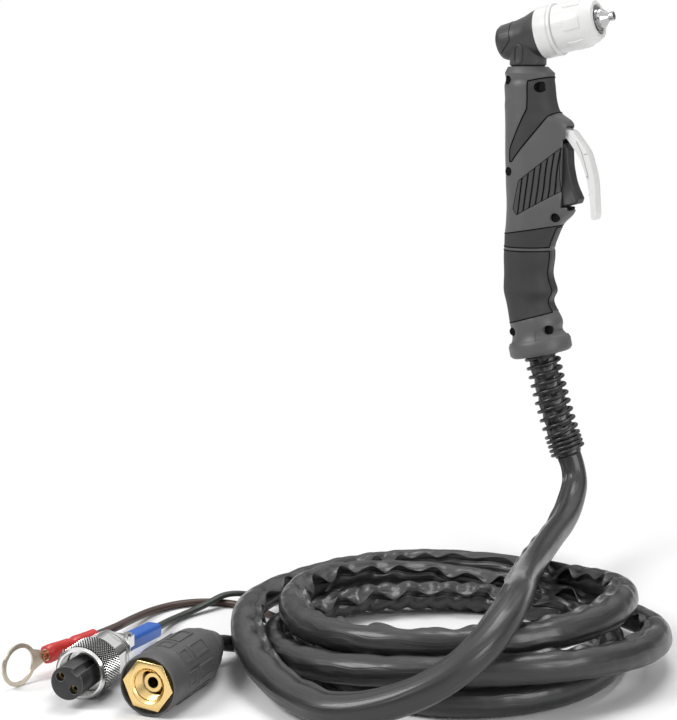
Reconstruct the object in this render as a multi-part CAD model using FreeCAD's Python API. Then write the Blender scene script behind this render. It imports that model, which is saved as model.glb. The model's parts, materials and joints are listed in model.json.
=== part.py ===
import FreeCAD
import Part

import math
import os

# Hand plasma cutting torch on a coiled jacketed lead, with its gas connector, switch plug and ring terminal.
# Millimetres. The torch's middle plane is XZ, the nozzle points towards +X and the handle stands along Z.
# The origin lies on the handle's centreline beside the trigger.

V = FreeCAD.Vector
Y_AXIS = V(0, 1, 0)
Z_AXIS = V(0, 0, 1)

# Handle: one row for each section, from the neck down to the flange.
# Each is centre x, centre z, lean in degrees, back, front, back radius, front radius.
HANDLE_SECTIONS = [
    (0, 73.5, 0, -16.6, 12.6, 13.8, 13.0),
    (0, 67.5, 0, -16.5, 13.0, 13.8, 12.9),
    (0, 61.5, 0, -16.4, 13.8, 13.8, 12.7),
    (0, 56.5, 0, -16.3, 14.8, 13.8, 12.2),
    (0, 52.6, 0, -16.2, 16.2, 13.8, 11.5),
    (0, 49.6, 0, -16.0, 19.0, 13.8, 10.5),
    (0, 47.2, 0, -15.9, 23.0, 13.9, 9.7),
    (0, 44.8, 0, -15.8, 25.4, 13.9, 9.2),
    (0, 41.0, 0, -15.7, 26.0, 13.9, 9.0),
    (0, 28.0, 0, -15.5, 26.3, 13.9, 9.0),
    (0, 12.0, 0, -14.8, 26.2, 13.9, 9.0),
    (0, 0.0, 0, -14.1, 26.9, 13.8, 8.7),
    (0, -5.4, 0, -14.0, 27.9, 13.8, 8.7),
    (0, -9.2, 0, -14.1, 25.2, 13.8, 9.0),
    (0, -12.6, 0, -14.2, 21.6, 13.8, 9.5),
    (0, -17.0, 0, -14.6, 18.7, 13.8, 10.6),
    (0, -23.0, 0, -15.0, 16.2, 13.7, 11.7),
    (0, -30.0, 0, -15.2, 15.2, 13.6, 12.4),
    (0, -38.0, 0, -15.1, 14.6, 13.5, 12.8),
    (0, -46.0, 0, -14.9, 15.0, 13.5, 12.8),
    (0, -56.0, 3, -14.2, 16.3, 13.6, 12.8),
    (3.1, -66.3, 9, -14.6, 14.6, 14.0, 13.6),
    (6.2, -76.0, 13, -15.4, 15.4, 14.9, 14.6),
    (7.55, -83.0, 13, -18.0, 18.0, 17.6, 17.3),
]
SHELL_WALL = 2.6
SOFT_SKIN = 1.1
PART_LINE = 0.25
RIB_GROOVES = 7
RIB_PITCH = 3.2
RIB_GROOVE = 0.6
RIB_FIRST_X = -2.7
RIB_LEAN = 5.6
NECK_X = -3.3
NECK_ENTRY = 5.0
COLLAR_TOP_Z = 77.2
COLLAR_TOP_RADIUS = 11.6
CHEEK_WALL = 1.6
FRONT_TRIM_X = 22.2
HOOD_CHEEK_X = 23.4
PIN_SEAT = 1.7

# Flange and strain spring, along an axis that leans and curves away from the handle
SPRING_ROOT = V(9.4, 0, -91.0)
SPRING_LEAN = 13.0
SPRING_BEND_RADIUS = 365.0
SPRING_LENGTH = 62.0
SPRING_BURIED = 8.0
SPRING_MEAN_RADIUS = 9.65
SPRING_WIRE_RADIUS = 1.05
SPRING_PITCH = 5.2
SPRING_END_PITCH = 2.7
SPRING_CLOSED_TURNS = 4
SPRING_FIT = 0.3
SEAT_THICK = 3.2
SEAT_RADIUS = 12.4
FLANGE_RADIUS = 18.6
FLANGE_HEIGHT = 9.2

# Torch head, on an axis that rises towards the nozzle
HEAD_ORIGIN = V(5.7, 0, 96.0)
HEAD_RISE = 12.0
HEAD_REAR = -27.0
HEAD_FRONT_RADIUS = 14.4
NECK_RADIUS = 10.65
NECK_TOP_Z = 95.2
NECK_CHAMFER = 1.1
BODY_RADIUS = 7.9
BODY_FLANGE_RADIUS = 12.3
BODY_FLANGE_THICK = 2.6
THREAD_RADIUS = 9.15
THREAD_END = 16.0
THREAD_CLEARANCE = 0.05
HEAD_FIT = 0.1
NECK_BOSS_X = -5.3
NECK_BOSS_HALF = 3.2
NECK_BOSS_TOP = 89.8
NECK_BOSS_FOOT = 78.4
NECK_BOSS_RIM = 1.3
NECK_BOSS_PROUD = 0.6
STEM_RADIUS = 5.1
STEM_END_Z = 62.0
UNION_Z = 36.0
UNION_LENGTH = 9.0
UNION_DEPTH = 5.0
NECK_TUBE_BORE = 3.4
COLLAR_LENGTH = 10.5
COLLAR_RADIUS = 14.75
CUP_GAP = 0.25
CUP_LENGTH = 24.05
CUP_REAR_RADIUS = 13.9
MOUTH_RADIUS = 8.5
INSERT_START = 8.5
INSERT_END = 24.0
INSERT_RADIUS = 10.5
NOZZLE_REAR = 22.0
NOZZLE_NOSE = 9.2
NOZZLE_KNOB_RADIUS = 2.6
ELECTRODE_RADIUS = 4.0
GRIP_PADS = 6

# Trigger, safety lever and switch
TRIGGER_HALF_WIDTH = 5.2
TRIGGER_SIDE_GAP = 0.7
TRIGGER_EDGE_RADIUS = 1.2
TRIGGER_PIN = V(19.5, 0, 29.5)
TRIGGER_PIN_RADIUS = 1.5
PIN_CLEARANCE = 0.05
LEVER_PIN = V(21.2, 0, 40.0)
LEVER_PIN_RADIUS = 1.1
LEVER_HALF_WIDTH = 4.0
LEVER_HUB_RADIUS = 2.6
LEVER_SLOT_HALF = 5.4
TRIGGER_REAR_X = 15.0
POCKET_REAR_X = 11.2
SWITCH_Z = 12.0
SWITCH_HEIGHT = 19.0
SWITCH_DEPTH = 8.0
SWITCH_HALF_WIDTH = 3.2
PLUNGER_RADIUS = 1.5
PLUNGER_GAP = 0.3

# Screws through both shells: x, z, and how far out the head's seat lies on the near side
SCREWS = [
    (8.9, 65.6, 7.6),
    (-11.2, 69.5, 6.0),
    (-9.4, 17.0, 8.3),
    (19.2, -9.0, 5.6),
    (17.4, -74.7, 7.4),
    (-5.2, -77.5, 7.4),
]
SCREW_RADIUS = 1.4
SCREW_HEAD_RADIUS = 2.5
SCREW_HEAD_HEIGHT = 1.8
SCREW_REACH = 6.0
BOSS_RADIUS = 3.4

# Floor that the lead lies on, and the coil's centre on it, with the view's right and away directions
FLOOR_Z = -214.0
COIL_CENTRE = (35.0, -190.0)
VIEW_TURN = 31.0
JACKET_RADIUS = 7.2

# Radius and height of the jacket's centre over the floor at each quarter turn: front, left, back, right
COIL_START = (0.5, 98, 10)
COIL_QUARTERS = [
    (91.5, 20), (122, 9), (104, 32), (68, 35),
    (69, 35), (89, 15), (109, 12.5), (80, 26),
    (75, 17), (66, 8), (87, 7.6), (78, 7.6),
]
COIL_END = (12.6, 60, 8)

# Free stretch from the spring to the coil
DROP_POINTS = [
    (37, -14, -175), (41, -36, -181), (47, -68, -181.5), (58, -118, -182.5), (76, -170, -175),
    (94, -212, -165), (103, -242, -163.5), (102, -267, -174.5), (87, -285, -188.5), (65, -294.5, -199),
]
DROP_FIRST_RUN = 14.0
DROP_LAST_RUN = 18.6

# Gas and power connector
CONNECTOR_FRONT = (-130.8, -76.8, 14.4)
CONNECTOR_HEADING = (-0.36, -0.933, 0.04)
NUT_FLATS = 22.0
NUT_TURN = -6.0
NUT_PROUD = 0.8
NUT_LENGTH = 21.0
NUT_THREAD_RADIUS = 7.25
NUT_THREAD_DEPTH = 14.0
NIPPLE_RADIUS = 5.0
NIPPLE_BORE = 2.7
NIPPLE_CLEARANCE = 0.1
GRIP_RADIUS = 14.4
GRIP_RIM = 1.0
GRIP_MOUTH_DEPTH = 3.4
GRIP_LENGTH = 48.0
GRIP_BORE = 6.4
BOOT_GAP = 0.6
BOOT_LENGTH = 17.5
HOSE_RADIUS = 4.0
GRIP_COLUMNS = 8

# Switch plug
PLUG_FACE = V(-73.6, -337.0, FLOOR_Z + 12.8)
PLUG_HEADING = V(0.2345, -0.972, 0.03)
INSERT_PLUG_RADIUS = 8.0
INSERT_PROUD = 13.0
INSERT_TURN = -40.0
CONTACT_SPACING = 8.6
CONTACT_RADIUS = 2.1
COUPLING_RADIUS = 12.5
COUPLING_LENGTH = 17.0
PLUG_SHELL_RADIUS = 11.6
PLUG_SHELL_END = 50.0
LEAD_RADIUS = 1.75

# Ring terminal
RING_CENTRE = V(-112.4, -326.0, FLOOR_Z + 10.5)
RING_HEADING = V(-0.10, -0.995, 0)
RING_RADIUS = 10.3
RING_HOLE_RADIUS = 8.25
RING_THICK = 1.0
PILOT_RADIUS = 1.9


def save(name, shape):
    """Write one sub-part."""
    if not shape.isValid():
        print("not valid:", name)
    shape.exportStep("parts/%s.step" % name)
    print("%-22s solids %2d  volume %10.1f" % (name, len(shape.Solids), shape.Volume))


def placed(shape, base, heading, up=Z_AXIS):
    """Turn a shape built along +Z so that it points along a heading, with its +Y towards up."""
    ahead = V(heading).normalize()
    side = up.cross(ahead).normalize()
    turn = FreeCAD.Rotation(side, ahead.cross(side), ahead, "ZXY")
    copy = shape.copy()
    copy.Placement = FreeCAD.Placement(base, turn).multiply(shape.Placement)
    return copy


def turned(profile):
    """Solid of revolution about Z from (height, radius) points."""
    points = [V(radius, 0, height) for height, radius in profile]
    face = Part.Face(Part.makePolygon(points + points[:1]))
    return face.revolve(V(0, 0, 0), Z_AXIS, 360)


def tube(outer, inner, start, end):
    """Round tube along Z."""
    return turned([(start, inner), (start, outer), (end, outer), (end, inner)])


def rod(radius, start, end):
    """Round bar along Z."""
    return Part.makeCylinder(radius, end - start, V(0, 0, start))


def bar_across(x, z, radius, half_length):
    """Round bar along Y."""
    return Part.makeCylinder(radius, 2 * half_length, V(x, -half_length, z), Y_AXIS)


def rounded_edges(points, radii, closed=False):
    """Straight edges between points, with a tangent arc at each point whose radius is above zero."""
    entries = []
    exits = []
    middles = []
    for index, corner in enumerate(points):
        if radii[index] <= 0:
            entries.append(corner)
            exits.append(corner)
            middles.append(None)
            continue
        back = (points[index - 1] - corner).normalize()
        ahead = (points[(index + 1) % len(points)] - corner).normalize()
        half = back.getAngle(ahead) / 2
        reach = radii[index] / math.tan(half)
        bisector = (back + ahead).normalize()
        entries.append(corner + back * reach)
        exits.append(corner + ahead * reach)
        middles.append(corner + bisector * (radii[index] / math.sin(half) - radii[index]))
    edges = []
    last = len(points) if closed else len(points) - 1
    for index in range(len(points)):
        if middles[index] is not None:
            edges.append(Part.Arc(entries[index], middles[index], exits[index]).toShape())
        following = (index + 1) % len(points)
        if index < last and exits[index].distanceToPoint(entries[following]) > 1e-6:
            edges.append(Part.LineSegment(exits[index], entries[following]).toShape())
    return edges


def slab(outline, half_width):
    """Plate across Y from an outline of (x, z, corner radius)."""
    points = [V(x, -half_width, z) for x, z, corner in outline]
    wire = Part.Wire(rounded_edges(points, [corner for x, z, corner in outline], closed=True))
    return Part.Face(wire).extrude(V(0, 2 * half_width, 0))


def swept_round(edges, radius):
    """Round tube along a wire."""
    spine = Part.Wire(edges)
    first = edges[0]
    start = first.valueAt(first.FirstParameter)
    ahead = first.tangentAt(first.FirstParameter)
    if spine.OrderedVertexes[0].Point.distanceToPoint(start) > 1e-6:
        start = first.valueAt(first.LastParameter)
        ahead = first.tangentAt(first.LastParameter) * -1
    ring = Part.Wire(Part.Circle(start, ahead, radius).toShape())
    sweep = Part.BRepOffsetAPI.MakePipeShell(spine)
    sweep.add(ring)
    sweep.build()
    sweep.makeSolid()
    return sweep.shape()


def cord(name, points, radius):
    """Tube along a route whose corners are arcs as large as their runs allow."""
    radii = [0]
    for index in range(1, len(points) - 1):
        back = points[index - 1] - points[index]
        ahead = points[index + 1] - points[index]
        turn = math.pi - back.getAngle(ahead)
        radii.append(0.45 * min(back.Length, ahead.Length) / math.tan(turn / 2))
    radii.append(0)
    edges = rounded_edges(points, radii)
    solid = swept_round(edges, radius)
    length = sum(edge.Length for edge in edges)
    expected = math.pi * radius ** 2 * length
    print("%s: length %.1f, radii %s, volume over section times length %.4f"
          % (name, length, [round(value, 1) for value in radii[1:-1]], solid.Volume / expected))
    return solid


def arc_pair(start, start_ahead, end, end_ahead):
    """Two tangent arcs between two points with given directions."""
    chord = end - start
    both = start_ahead + end_ahead
    square = 2 * (start_ahead.dot(end_ahead) - 1)
    reach = chord.dot(chord) / (2 * chord.dot(both))
    if abs(square) > 1e-9:
        linear = -2 * chord.dot(both)
        root = math.sqrt(linear ** 2 - 4 * square * chord.dot(chord))
        reach = (-linear - root) / (2 * square)
    first_corner = start + start_ahead * reach
    second_corner = end - end_ahead * reach
    joint = (first_corner + second_corner) * 0.5
    return [arc_through(start, first_corner, joint), arc_through(joint, second_corner, end)]


def arc_through(start, corner, end):
    """Arc from start to end whose end tangents meet at the corner."""
    chord_middle = (start + end) * 0.5
    half_chord = (end - start).Length / 2
    rise = corner - chord_middle
    half_angle = math.atan2(rise.Length, half_chord)
    sagitta = half_chord * math.tan(half_angle / 2)
    return Part.Arc(start, chord_middle + V(rise).normalize() * sagitta, end).toShape()


def least_gap(points, radius, apart):
    """Least gap of a tube to itself, between points further apart than a stretch along it."""
    least = 1e9
    for index, point in enumerate(points):
        for other in points[index + apart:]:
            least = min(least, point.distanceToPoint(other))
    return least - 2 * radius


# Handle

def handle_section(row, inset):
    """One egg-shaped section: a wide arc behind and a narrow one in front, joined by straight sides."""
    x, z, lean, back, front, back_radius, front_radius = row
    rear = back_radius - inset
    fore = front_radius - inset
    rear_x = back + back_radius
    fore_x = front - front_radius
    slope = math.acos((back_radius - front_radius) / (fore_x - rear_x))
    rear_side = V(rear_x + rear * math.cos(slope), rear * math.sin(slope), 0)
    fore_side = V(fore_x + fore * math.cos(slope), fore * math.sin(slope), 0)
    rear_far = V(rear_side.x, -rear_side.y, 0)
    fore_far = V(fore_side.x, -fore_side.y, 0)
    wire = Part.Wire([
        Part.Arc(rear_side, V(rear_x - rear, 0, 0), rear_far).toShape(),
        Part.LineSegment(rear_far, fore_far).toShape(),
        Part.Arc(fore_far, V(fore_x + fore, 0, 0), fore_side).toShape(),
        Part.LineSegment(fore_side, rear_side).toShape(),
    ])
    wire.Placement = FreeCAD.Placement(V(x, 0, z), FreeCAD.Rotation(Y_AXIS, -lean))
    return wire


def handle_loft(inset, first=0, last=None):
    """The handle's body at a depth under its outer face."""
    rows = HANDLE_SECTIONS[first:last]
    return Part.makeLoft([handle_section(row, inset) for row in rows], True, False)


def spring_axis(distance):
    """Point and direction on the spring's axis, at a distance from the flange's lower face."""
    lean = math.radians(SPRING_LEAN)
    angle = lean + distance / SPRING_BEND_RADIUS
    point = SPRING_ROOT + V(
        SPRING_BEND_RADIUS * (math.cos(lean) - math.cos(angle)), 0,
        -SPRING_BEND_RADIUS * (math.sin(angle) - math.sin(lean)))
    return point, V(math.sin(angle), 0, -math.cos(angle))


def handle_outer():
    """Outer form of both shells together."""
    body = handle_loft(0)
    neck = Part.makeLoft([
        handle_section(HANDLE_SECTIONS[0], 0),
        Part.Wire(Part.Circle(V(NECK_X, 0, COLLAR_TOP_Z), Z_AXIS, COLLAR_TOP_RADIUS).toShape()),
    ], True, True)
    flange = placed(turned([
        (-FLANGE_HEIGHT, 0), (-FLANGE_HEIGHT, FLANGE_RADIUS - 0.9), (-FLANGE_HEIGHT + 2, FLANGE_RADIUS),
        (-2, FLANGE_RADIUS), (-0.5, FLANGE_RADIUS - 1.2), (0, FLANGE_RADIUS - 2.4), (0, 0),
    ]), SPRING_ROOT, spring_axis(0)[1])
    return body.fuse(neck).fuse(flange)


def trigger_pocket():
    """Room for the trigger, the lever's hub and the notch under the hood."""
    half = TRIGGER_HALF_WIDTH + TRIGGER_SIDE_GAP
    pocket = slab([
        (POCKET_REAR_X, -5.0, 0), (40, -5.0, 0), (40, 36.0, 0), (POCKET_REAR_X, 36.0, 0),
    ], half)
    trim = slab([
        (FRONT_TRIM_X, -3.2, 0), (40, -3.2, 0), (40, 36, 0), (FRONT_TRIM_X, 36, 0),
    ], 20)
    notch = slab([
        (HOOD_CHEEK_X, 34.6, 0), (40, 34.6, 0), (40, 42.4, 0), (HOOD_CHEEK_X, 42.4, 0),
    ], 20)
    slot = slab([
        (16.5, 35.0, 0), (40, 35.0, 0), (40, 43.4, 0), (19, 43.4, 0), (16.5, 41.5, 0),
    ], LEVER_SLOT_HALF)
    return pocket.fuse(trim).fuse(notch).fuse(slot)


def soft_areas(clearance):
    """Prisms that bound the softer overmoulded areas: upper, ribbed, band and sleeve."""
    upper = [
        (2.0, 69.3), (30, 75.0), (30, 58.5), (14.2, 49.0),
        (-6.6, 22.6), (-8.6, 22.6), (-8.6, 30.0), (2.0, 53.4),
    ]
    ribbed = [(-2.0, 11.8), (22.0, 31.6), (22.0, 6.0), (-2.6, -8.2), (-5.6, -4.6)]
    band = [(-30, -22.3), (30, -12.0), (30, -27.0), (-30, -27.6)]
    sleeve = [(-30, -29.2), (30, -28.6), (30, -61.2), (-30, -79.5)]
    prisms = []
    for corners in (upper, ribbed, band, sleeve):
        wire = Part.makePolygon([V(x, 0, z) for x, z in corners + corners[:1]])
        if clearance > 0:
            wire = wire.makeOffset2D(-clearance)
        prisms.append(Part.Face(wire).extrude(V(0, 40, 0)).fuse(Part.Face(wire).extrude(V(0, -40, 0))))
    return prisms


def front_strip():
    """Strip of hard shell left bare along the front seam of the lower grip."""
    return Part.makeBox(30, 8, 60, V(6, -4, -75))


def handle_parts():
    """Both shells and the soft areas on them. The near half is made first, and the far half mirrors it."""
    half_space = Part.makeBox(400, 200, 400, V(-200, -200, -200))
    outer = handle_outer().common(half_space)
    skin = handle_loft(SOFT_SKIN).common(half_space)
    cavity = handle_loft(SHELL_WALL, 0, -1).common(half_space)
    pocket = trigger_pocket()
    hard_skin = outer.cut(skin)
    upper, ribbed, band, sleeve = soft_areas(0)
    recess = hard_skin.common(upper.fuse(ribbed).fuse(band.fuse(sleeve).cut(front_strip())))
    cheek_rear = POCKET_REAR_X - CHEEK_WALL
    cheeks = slab([
        (cheek_rear, 44, 0), (FRONT_TRIM_X, 44, 0), (FRONT_TRIM_X, -12, 0), (cheek_rear, -14, 0),
    ], TRIGGER_HALF_WIDTH + TRIGGER_SIDE_GAP + CHEEK_WALL)
    bosses = [bar_across(x, z, BOSS_RADIUS, 20) for x, z, seat in SCREWS]
    shell = outer.cut(cavity).cut(recess).fuse(cheeks.fuse(bosses).common(skin))
    half = TRIGGER_HALF_WIDTH + TRIGGER_SIDE_GAP + PIN_SEAT + 0.1
    pin_holes = bar_across(TRIGGER_PIN.x, TRIGGER_PIN.z, TRIGGER_PIN_RADIUS, half)
    half = LEVER_SLOT_HALF + PIN_SEAT - 0.4
    pin_holes = pin_holes.fuse(bar_across(LEVER_PIN.x, LEVER_PIN.z, LEVER_PIN_RADIUS, half))
    shell = shell.cut([pocket, lower_bore(), upper_bore(), switch_space(), pin_holes])
    screw_holes = [bar_across(x, z, SCREW_RADIUS, SCREW_REACH + 0.1) for x, z, seat in SCREWS]
    shell = shell.cut(Part.makeCompound(screw_holes))
    save("handle_shell_left", shell.cut(screw_seats()))
    save("handle_shell_right", shell.mirror(V(0, 0, 0), Y_AXIS))

    upper, ribbed, band, sleeve = soft_areas(PART_LINE)
    trimmed = hard_skin.cut(pocket).cut(pin_holes)
    save_pair("upper_grip_inlays", trimmed.common(upper))
    save_pair("ribbed_grip_inlays", trimmed.common(ribbed).cut(rib_grooves()))
    save_pair("lower_grip_sleeve", trimmed.common(band.fuse(sleeve)).cut(front_strip()))

    screws = []
    for x, z, seat in SCREWS:
        shaft = Part.makeCylinder(SCREW_RADIUS, seat + SCREW_REACH, V(x, -seat, z), Y_AXIS)
        head = Part.makeCylinder(SCREW_HEAD_RADIUS, SCREW_HEAD_HEIGHT, V(x, -seat, z), V(0, -1, 0))
        screws.append(shaft.fuse(head).removeSplitter())
    save("handle_screws", Part.makeCompound(screws))


def screw_seats():
    """Counterbores for the screw heads and clearance for their shafts on the near side."""
    seats = []
    for x, z, seat in SCREWS:
        seats.append(Part.makeCylinder(SCREW_HEAD_RADIUS + 0.2, 20, V(x, -seat, z), V(0, -1, 0)))
        seats.append(Part.makeCylinder(SCREW_RADIUS, seat + 1, V(x, -seat - 1, z), Y_AXIS))
    return Part.makeCompound(seats)


def save_pair(name, near):
    """Write a soft area of both sides, with the screw heads' holes in the near one."""
    save(name, Part.makeCompound([near.cut(screw_seats()), near.mirror(V(0, 0, 0), Y_AXIS)]))


def rib_grooves():
    """Grooves between the ribs of the side panels, half as deep as the soft skin."""
    grooves = []
    for index in range(RIB_GROOVES):
        x = RIB_FIRST_X + RIB_PITCH * index
        grooves.append(slab([
            (x, -12, 0), (x + RIB_GROOVE, -12, 0), (x + RIB_GROOVE + RIB_LEAN, 36, 0), (x + RIB_LEAN, 36, 0),
        ], 40))
    return Part.makeCompound(grooves).cut(handle_loft(SOFT_SKIN / 2))


def lower_bore():
    """Seat for the spring and the jacket's end in the flange."""
    top = SPRING_BURIED + 1.0
    profile = [
        (1, 0), (1, SPRING_MEAN_RADIUS + SPRING_WIRE_RADIUS + SPRING_FIT),
        (-top, SPRING_MEAN_RADIUS + SPRING_WIRE_RADIUS + SPRING_FIT),
        (-top, SEAT_RADIUS + HEAD_FIT), (-top - SEAT_THICK, SEAT_RADIUS + HEAD_FIT),
        (-top - SEAT_THICK, 8.6), (-top - SEAT_THICK - 6, 8.6), (-top - SEAT_THICK - 6, 0),
    ]
    return placed(turned(profile), SPRING_ROOT, spring_axis(0)[1])


def upper_bore():
    """Hole for the head's neck, with room for the stem below it."""
    neck = Part.makeCylinder(NECK_RADIUS, 12, V(NECK_X, 0, COLLAR_TOP_Z - NECK_ENTRY))
    return neck.fuse(Part.makeCylinder(STEM_RADIUS + 0.4, 20, V(NECK_X, 0, STEM_END_Z - 2)))


def switch_space():
    """Room for the microswitch behind the trigger."""
    corner = V(POCKET_REAR_X - SWITCH_DEPTH - 0.8, -SWITCH_HALF_WIDTH, SWITCH_Z - SWITCH_HEIGHT / 2)
    return Part.makeBox(SWITCH_DEPTH + 2.4, 2 * SWITCH_HALF_WIDTH, SWITCH_HEIGHT, corner)


# Torch head

def on_head(shape):
    """Place a shape built along +Z on the head's axis."""
    rise = math.radians(HEAD_RISE)
    return placed(shape, HEAD_ORIGIN, V(math.cos(rise), 0, math.sin(rise)), Y_AXIS)


def neck_boss():
    """Raised oblong rims on both sides of the neck."""
    def oblong(half):
        foot = NECK_BOSS_FOOT + NECK_BOSS_HALF - half
        top = NECK_BOSS_TOP - NECK_BOSS_HALF + half
        corner = half - 0.05
        return slab([
            (NECK_BOSS_X - half, foot, corner), (NECK_BOSS_X + half, foot, corner),
            (NECK_BOSS_X + half, top, corner), (NECK_BOSS_X - half, top, corner),
        ], NECK_RADIUS + 2)

    rim = oblong(NECK_BOSS_HALF).cut(oblong(NECK_BOSS_HALF - NECK_BOSS_RIM))
    skin = tube(NECK_RADIUS + NECK_BOSS_PROUD, NECK_RADIUS - 1, NECK_BOSS_FOOT - 1, NECK_BOSS_TOP + 1)
    skin.translate(V(NECK_X, 0, 0))
    return rim.common(skin)


def head_parts():
    """Head moulding, brass body and what it carries."""
    outer = on_head(turned([
        (HEAD_REAR, 0), (HEAD_REAR, 7.6), (HEAD_REAR + 1, 9.2), (HEAD_REAR + 3, 10.3), (-14, 10.9),
        (-8, 12.0), (-3.5, 13.5), (0, HEAD_FRONT_RADIUS), (0, 0),
    ]))
    neck_foot = COLLAR_TOP_Z - NECK_ENTRY
    neck = turned([
        (neck_foot, 0), (neck_foot, NECK_RADIUS), (COLLAR_TOP_Z, NECK_RADIUS),
        (COLLAR_TOP_Z, NECK_RADIUS - NECK_CHAMFER), (COLLAR_TOP_Z + NECK_CHAMFER, NECK_RADIUS),
        (NECK_TOP_Z, NECK_RADIUS), (NECK_TOP_Z, 0),
    ])
    neck.translate(V(NECK_X, 0, 0))
    inside = on_head(rod(BODY_RADIUS + HEAD_FIT, -20, 6))
    stem_length = NECK_TOP_Z - neck_foot + 1
    stem_hole = Part.makeCylinder(STEM_RADIUS + HEAD_FIT, stem_length, V(NECK_X, 0, neck_foot - 1))
    head = outer.fuse(neck).fuse(neck_boss())
    save("torch_head", head.cut(inside).cut(stem_hole).removeSplitter())

    barrel = on_head(turned([
        (-19.8, 0), (-19.8, BODY_RADIUS), (0, BODY_RADIUS), (0, BODY_FLANGE_RADIUS),
        (BODY_FLANGE_THICK, BODY_FLANGE_RADIUS), (BODY_FLANGE_THICK, THREAD_RADIUS),
        (THREAD_END, THREAD_RADIUS), (THREAD_END, ELECTRODE_RADIUS + HEAD_FIT),
        (12, ELECTRODE_RADIUS + HEAD_FIT), (12, 3.0), (-4, 3.0), (-4, 0),
    ]))
    stem = Part.makeCylinder(STEM_RADIUS, 94.0 - STEM_END_Z, V(NECK_X, 0, STEM_END_Z))
    save("torch_body", barrel.fuse(stem).removeSplitter())
    neck_tube = tube(STEM_RADIUS, NECK_TUBE_BORE, UNION_Z + UNION_LENGTH - UNION_DEPTH, STEM_END_Z)
    neck_tube.translate(V(NECK_X, 0, 0))
    save("neck_tube", neck_tube)
    ring = Part.makeTorus(THREAD_RADIUS + 0.85, 0.85)
    ring.translate(V(0, 0, BODY_FLANGE_THICK + 1.2))
    save("head_o_ring", on_head(ring))
    save("cup_collar", on_head(turned([
        (0.05, BODY_FLANGE_RADIUS + HEAD_FIT), (0.05, COLLAR_RADIUS), (COLLAR_LENGTH - 2.4, COLLAR_RADIUS),
        (COLLAR_LENGTH - 1.9, COLLAR_RADIUS + 0.3), (COLLAR_LENGTH, COLLAR_RADIUS + 0.3),
        (COLLAR_LENGTH, BODY_FLANGE_RADIUS + HEAD_FIT),
    ])))
    save("electrode", on_head(turned([
        (-4, 0), (-4, 3.0), (12, 3.0), (12, ELECTRODE_RADIUS), (34.5, ELECTRODE_RADIUS),
        (35.8, 2.9), (36.2, 1.6), (36.2, 0),
    ])))
    save("swirl_ring", on_head(turned([
        (THREAD_END + 0.3, ELECTRODE_RADIUS + 0.5), (THREAD_END + 0.3, 7.3), (NOZZLE_REAR, 7.3),
        (NOZZLE_REAR, ELECTRODE_RADIUS + 0.5),
    ])))
    mouth = COLLAR_LENGTH + CUP_GAP + CUP_LENGTH
    tip = mouth + NOZZLE_NOSE
    save("nozzle", on_head(turned([
        (NOZZLE_REAR, ELECTRODE_RADIUS + 0.5), (NOZZLE_REAR, 7.3), (29, 7.3), (29, 8.9), (mouth - 2.8, 8.9),
        (mouth - 2.8, 7.9), (mouth - 0.9, 7.9), (mouth - 0.9, 6.9), (mouth + 0.3, 6.9), (mouth + 0.3, 5.9),
        (mouth + 1.6, 5.9), (mouth + 1.6, 5.3), (mouth + 2.1, 5.3), (mouth + 2.1, 5.7), (mouth + 2.8, 5.5),
        (mouth + 6.3, 2.2), (mouth + 6.3, 1.8), (mouth + 7.2, 1.8), (mouth + 7.2, NOZZLE_KNOB_RADIUS),
        (tip - 0.3, NOZZLE_KNOB_RADIUS), (tip, NOZZLE_KNOB_RADIUS - 0.4), (tip, 0.6),
        (38.5, 0.6), (36.8, 3.2), (35.0, ELECTRODE_RADIUS + 0.5),
    ])))
    cup_parts(mouth)


def cup_parts(mouth):
    """Cup with its raised grip pads and its threaded brass insert."""
    rear = COLLAR_LENGTH + CUP_GAP
    outline = [
        (rear, CUP_REAR_RADIUS), (rear + 14, CUP_REAR_RADIUS - 0.1), (rear + 18, 13.2), (rear + 21.5, 12.1),
        (rear + 23.8, 10.8), (mouth, 9.7),
    ]
    inside = [
        (mouth, MOUTH_RADIUS), (mouth - 2.4, MOUTH_RADIUS), (mouth - 2.4, 9.6), (INSERT_END, 9.6),
        (INSERT_END, INSERT_RADIUS + 0.05), (rear, INSERT_RADIUS + 0.05),
    ]
    body = turned(outline + inside)
    raised = turned([(z, radius + 0.45) for z, radius in outline] + inside)
    for index in range(GRIP_PADS):
        pad = Part.makeBox(3.0, 7.0, 9.5, V(11.6, -3.5, rear + 7.5))
        pad.rotate(V(0, 0, 0), Z_AXIS, 360 / GRIP_PADS * index + 30)
        body = body.fuse(raised.common(pad))
    save("shield_cup", on_head(body))
    insert = tube(INSERT_RADIUS, THREAD_RADIUS + THREAD_CLEARANCE, INSERT_START, INSERT_END)
    save("cup_insert", on_head(insert))


# Trigger, lever and switch

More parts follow.
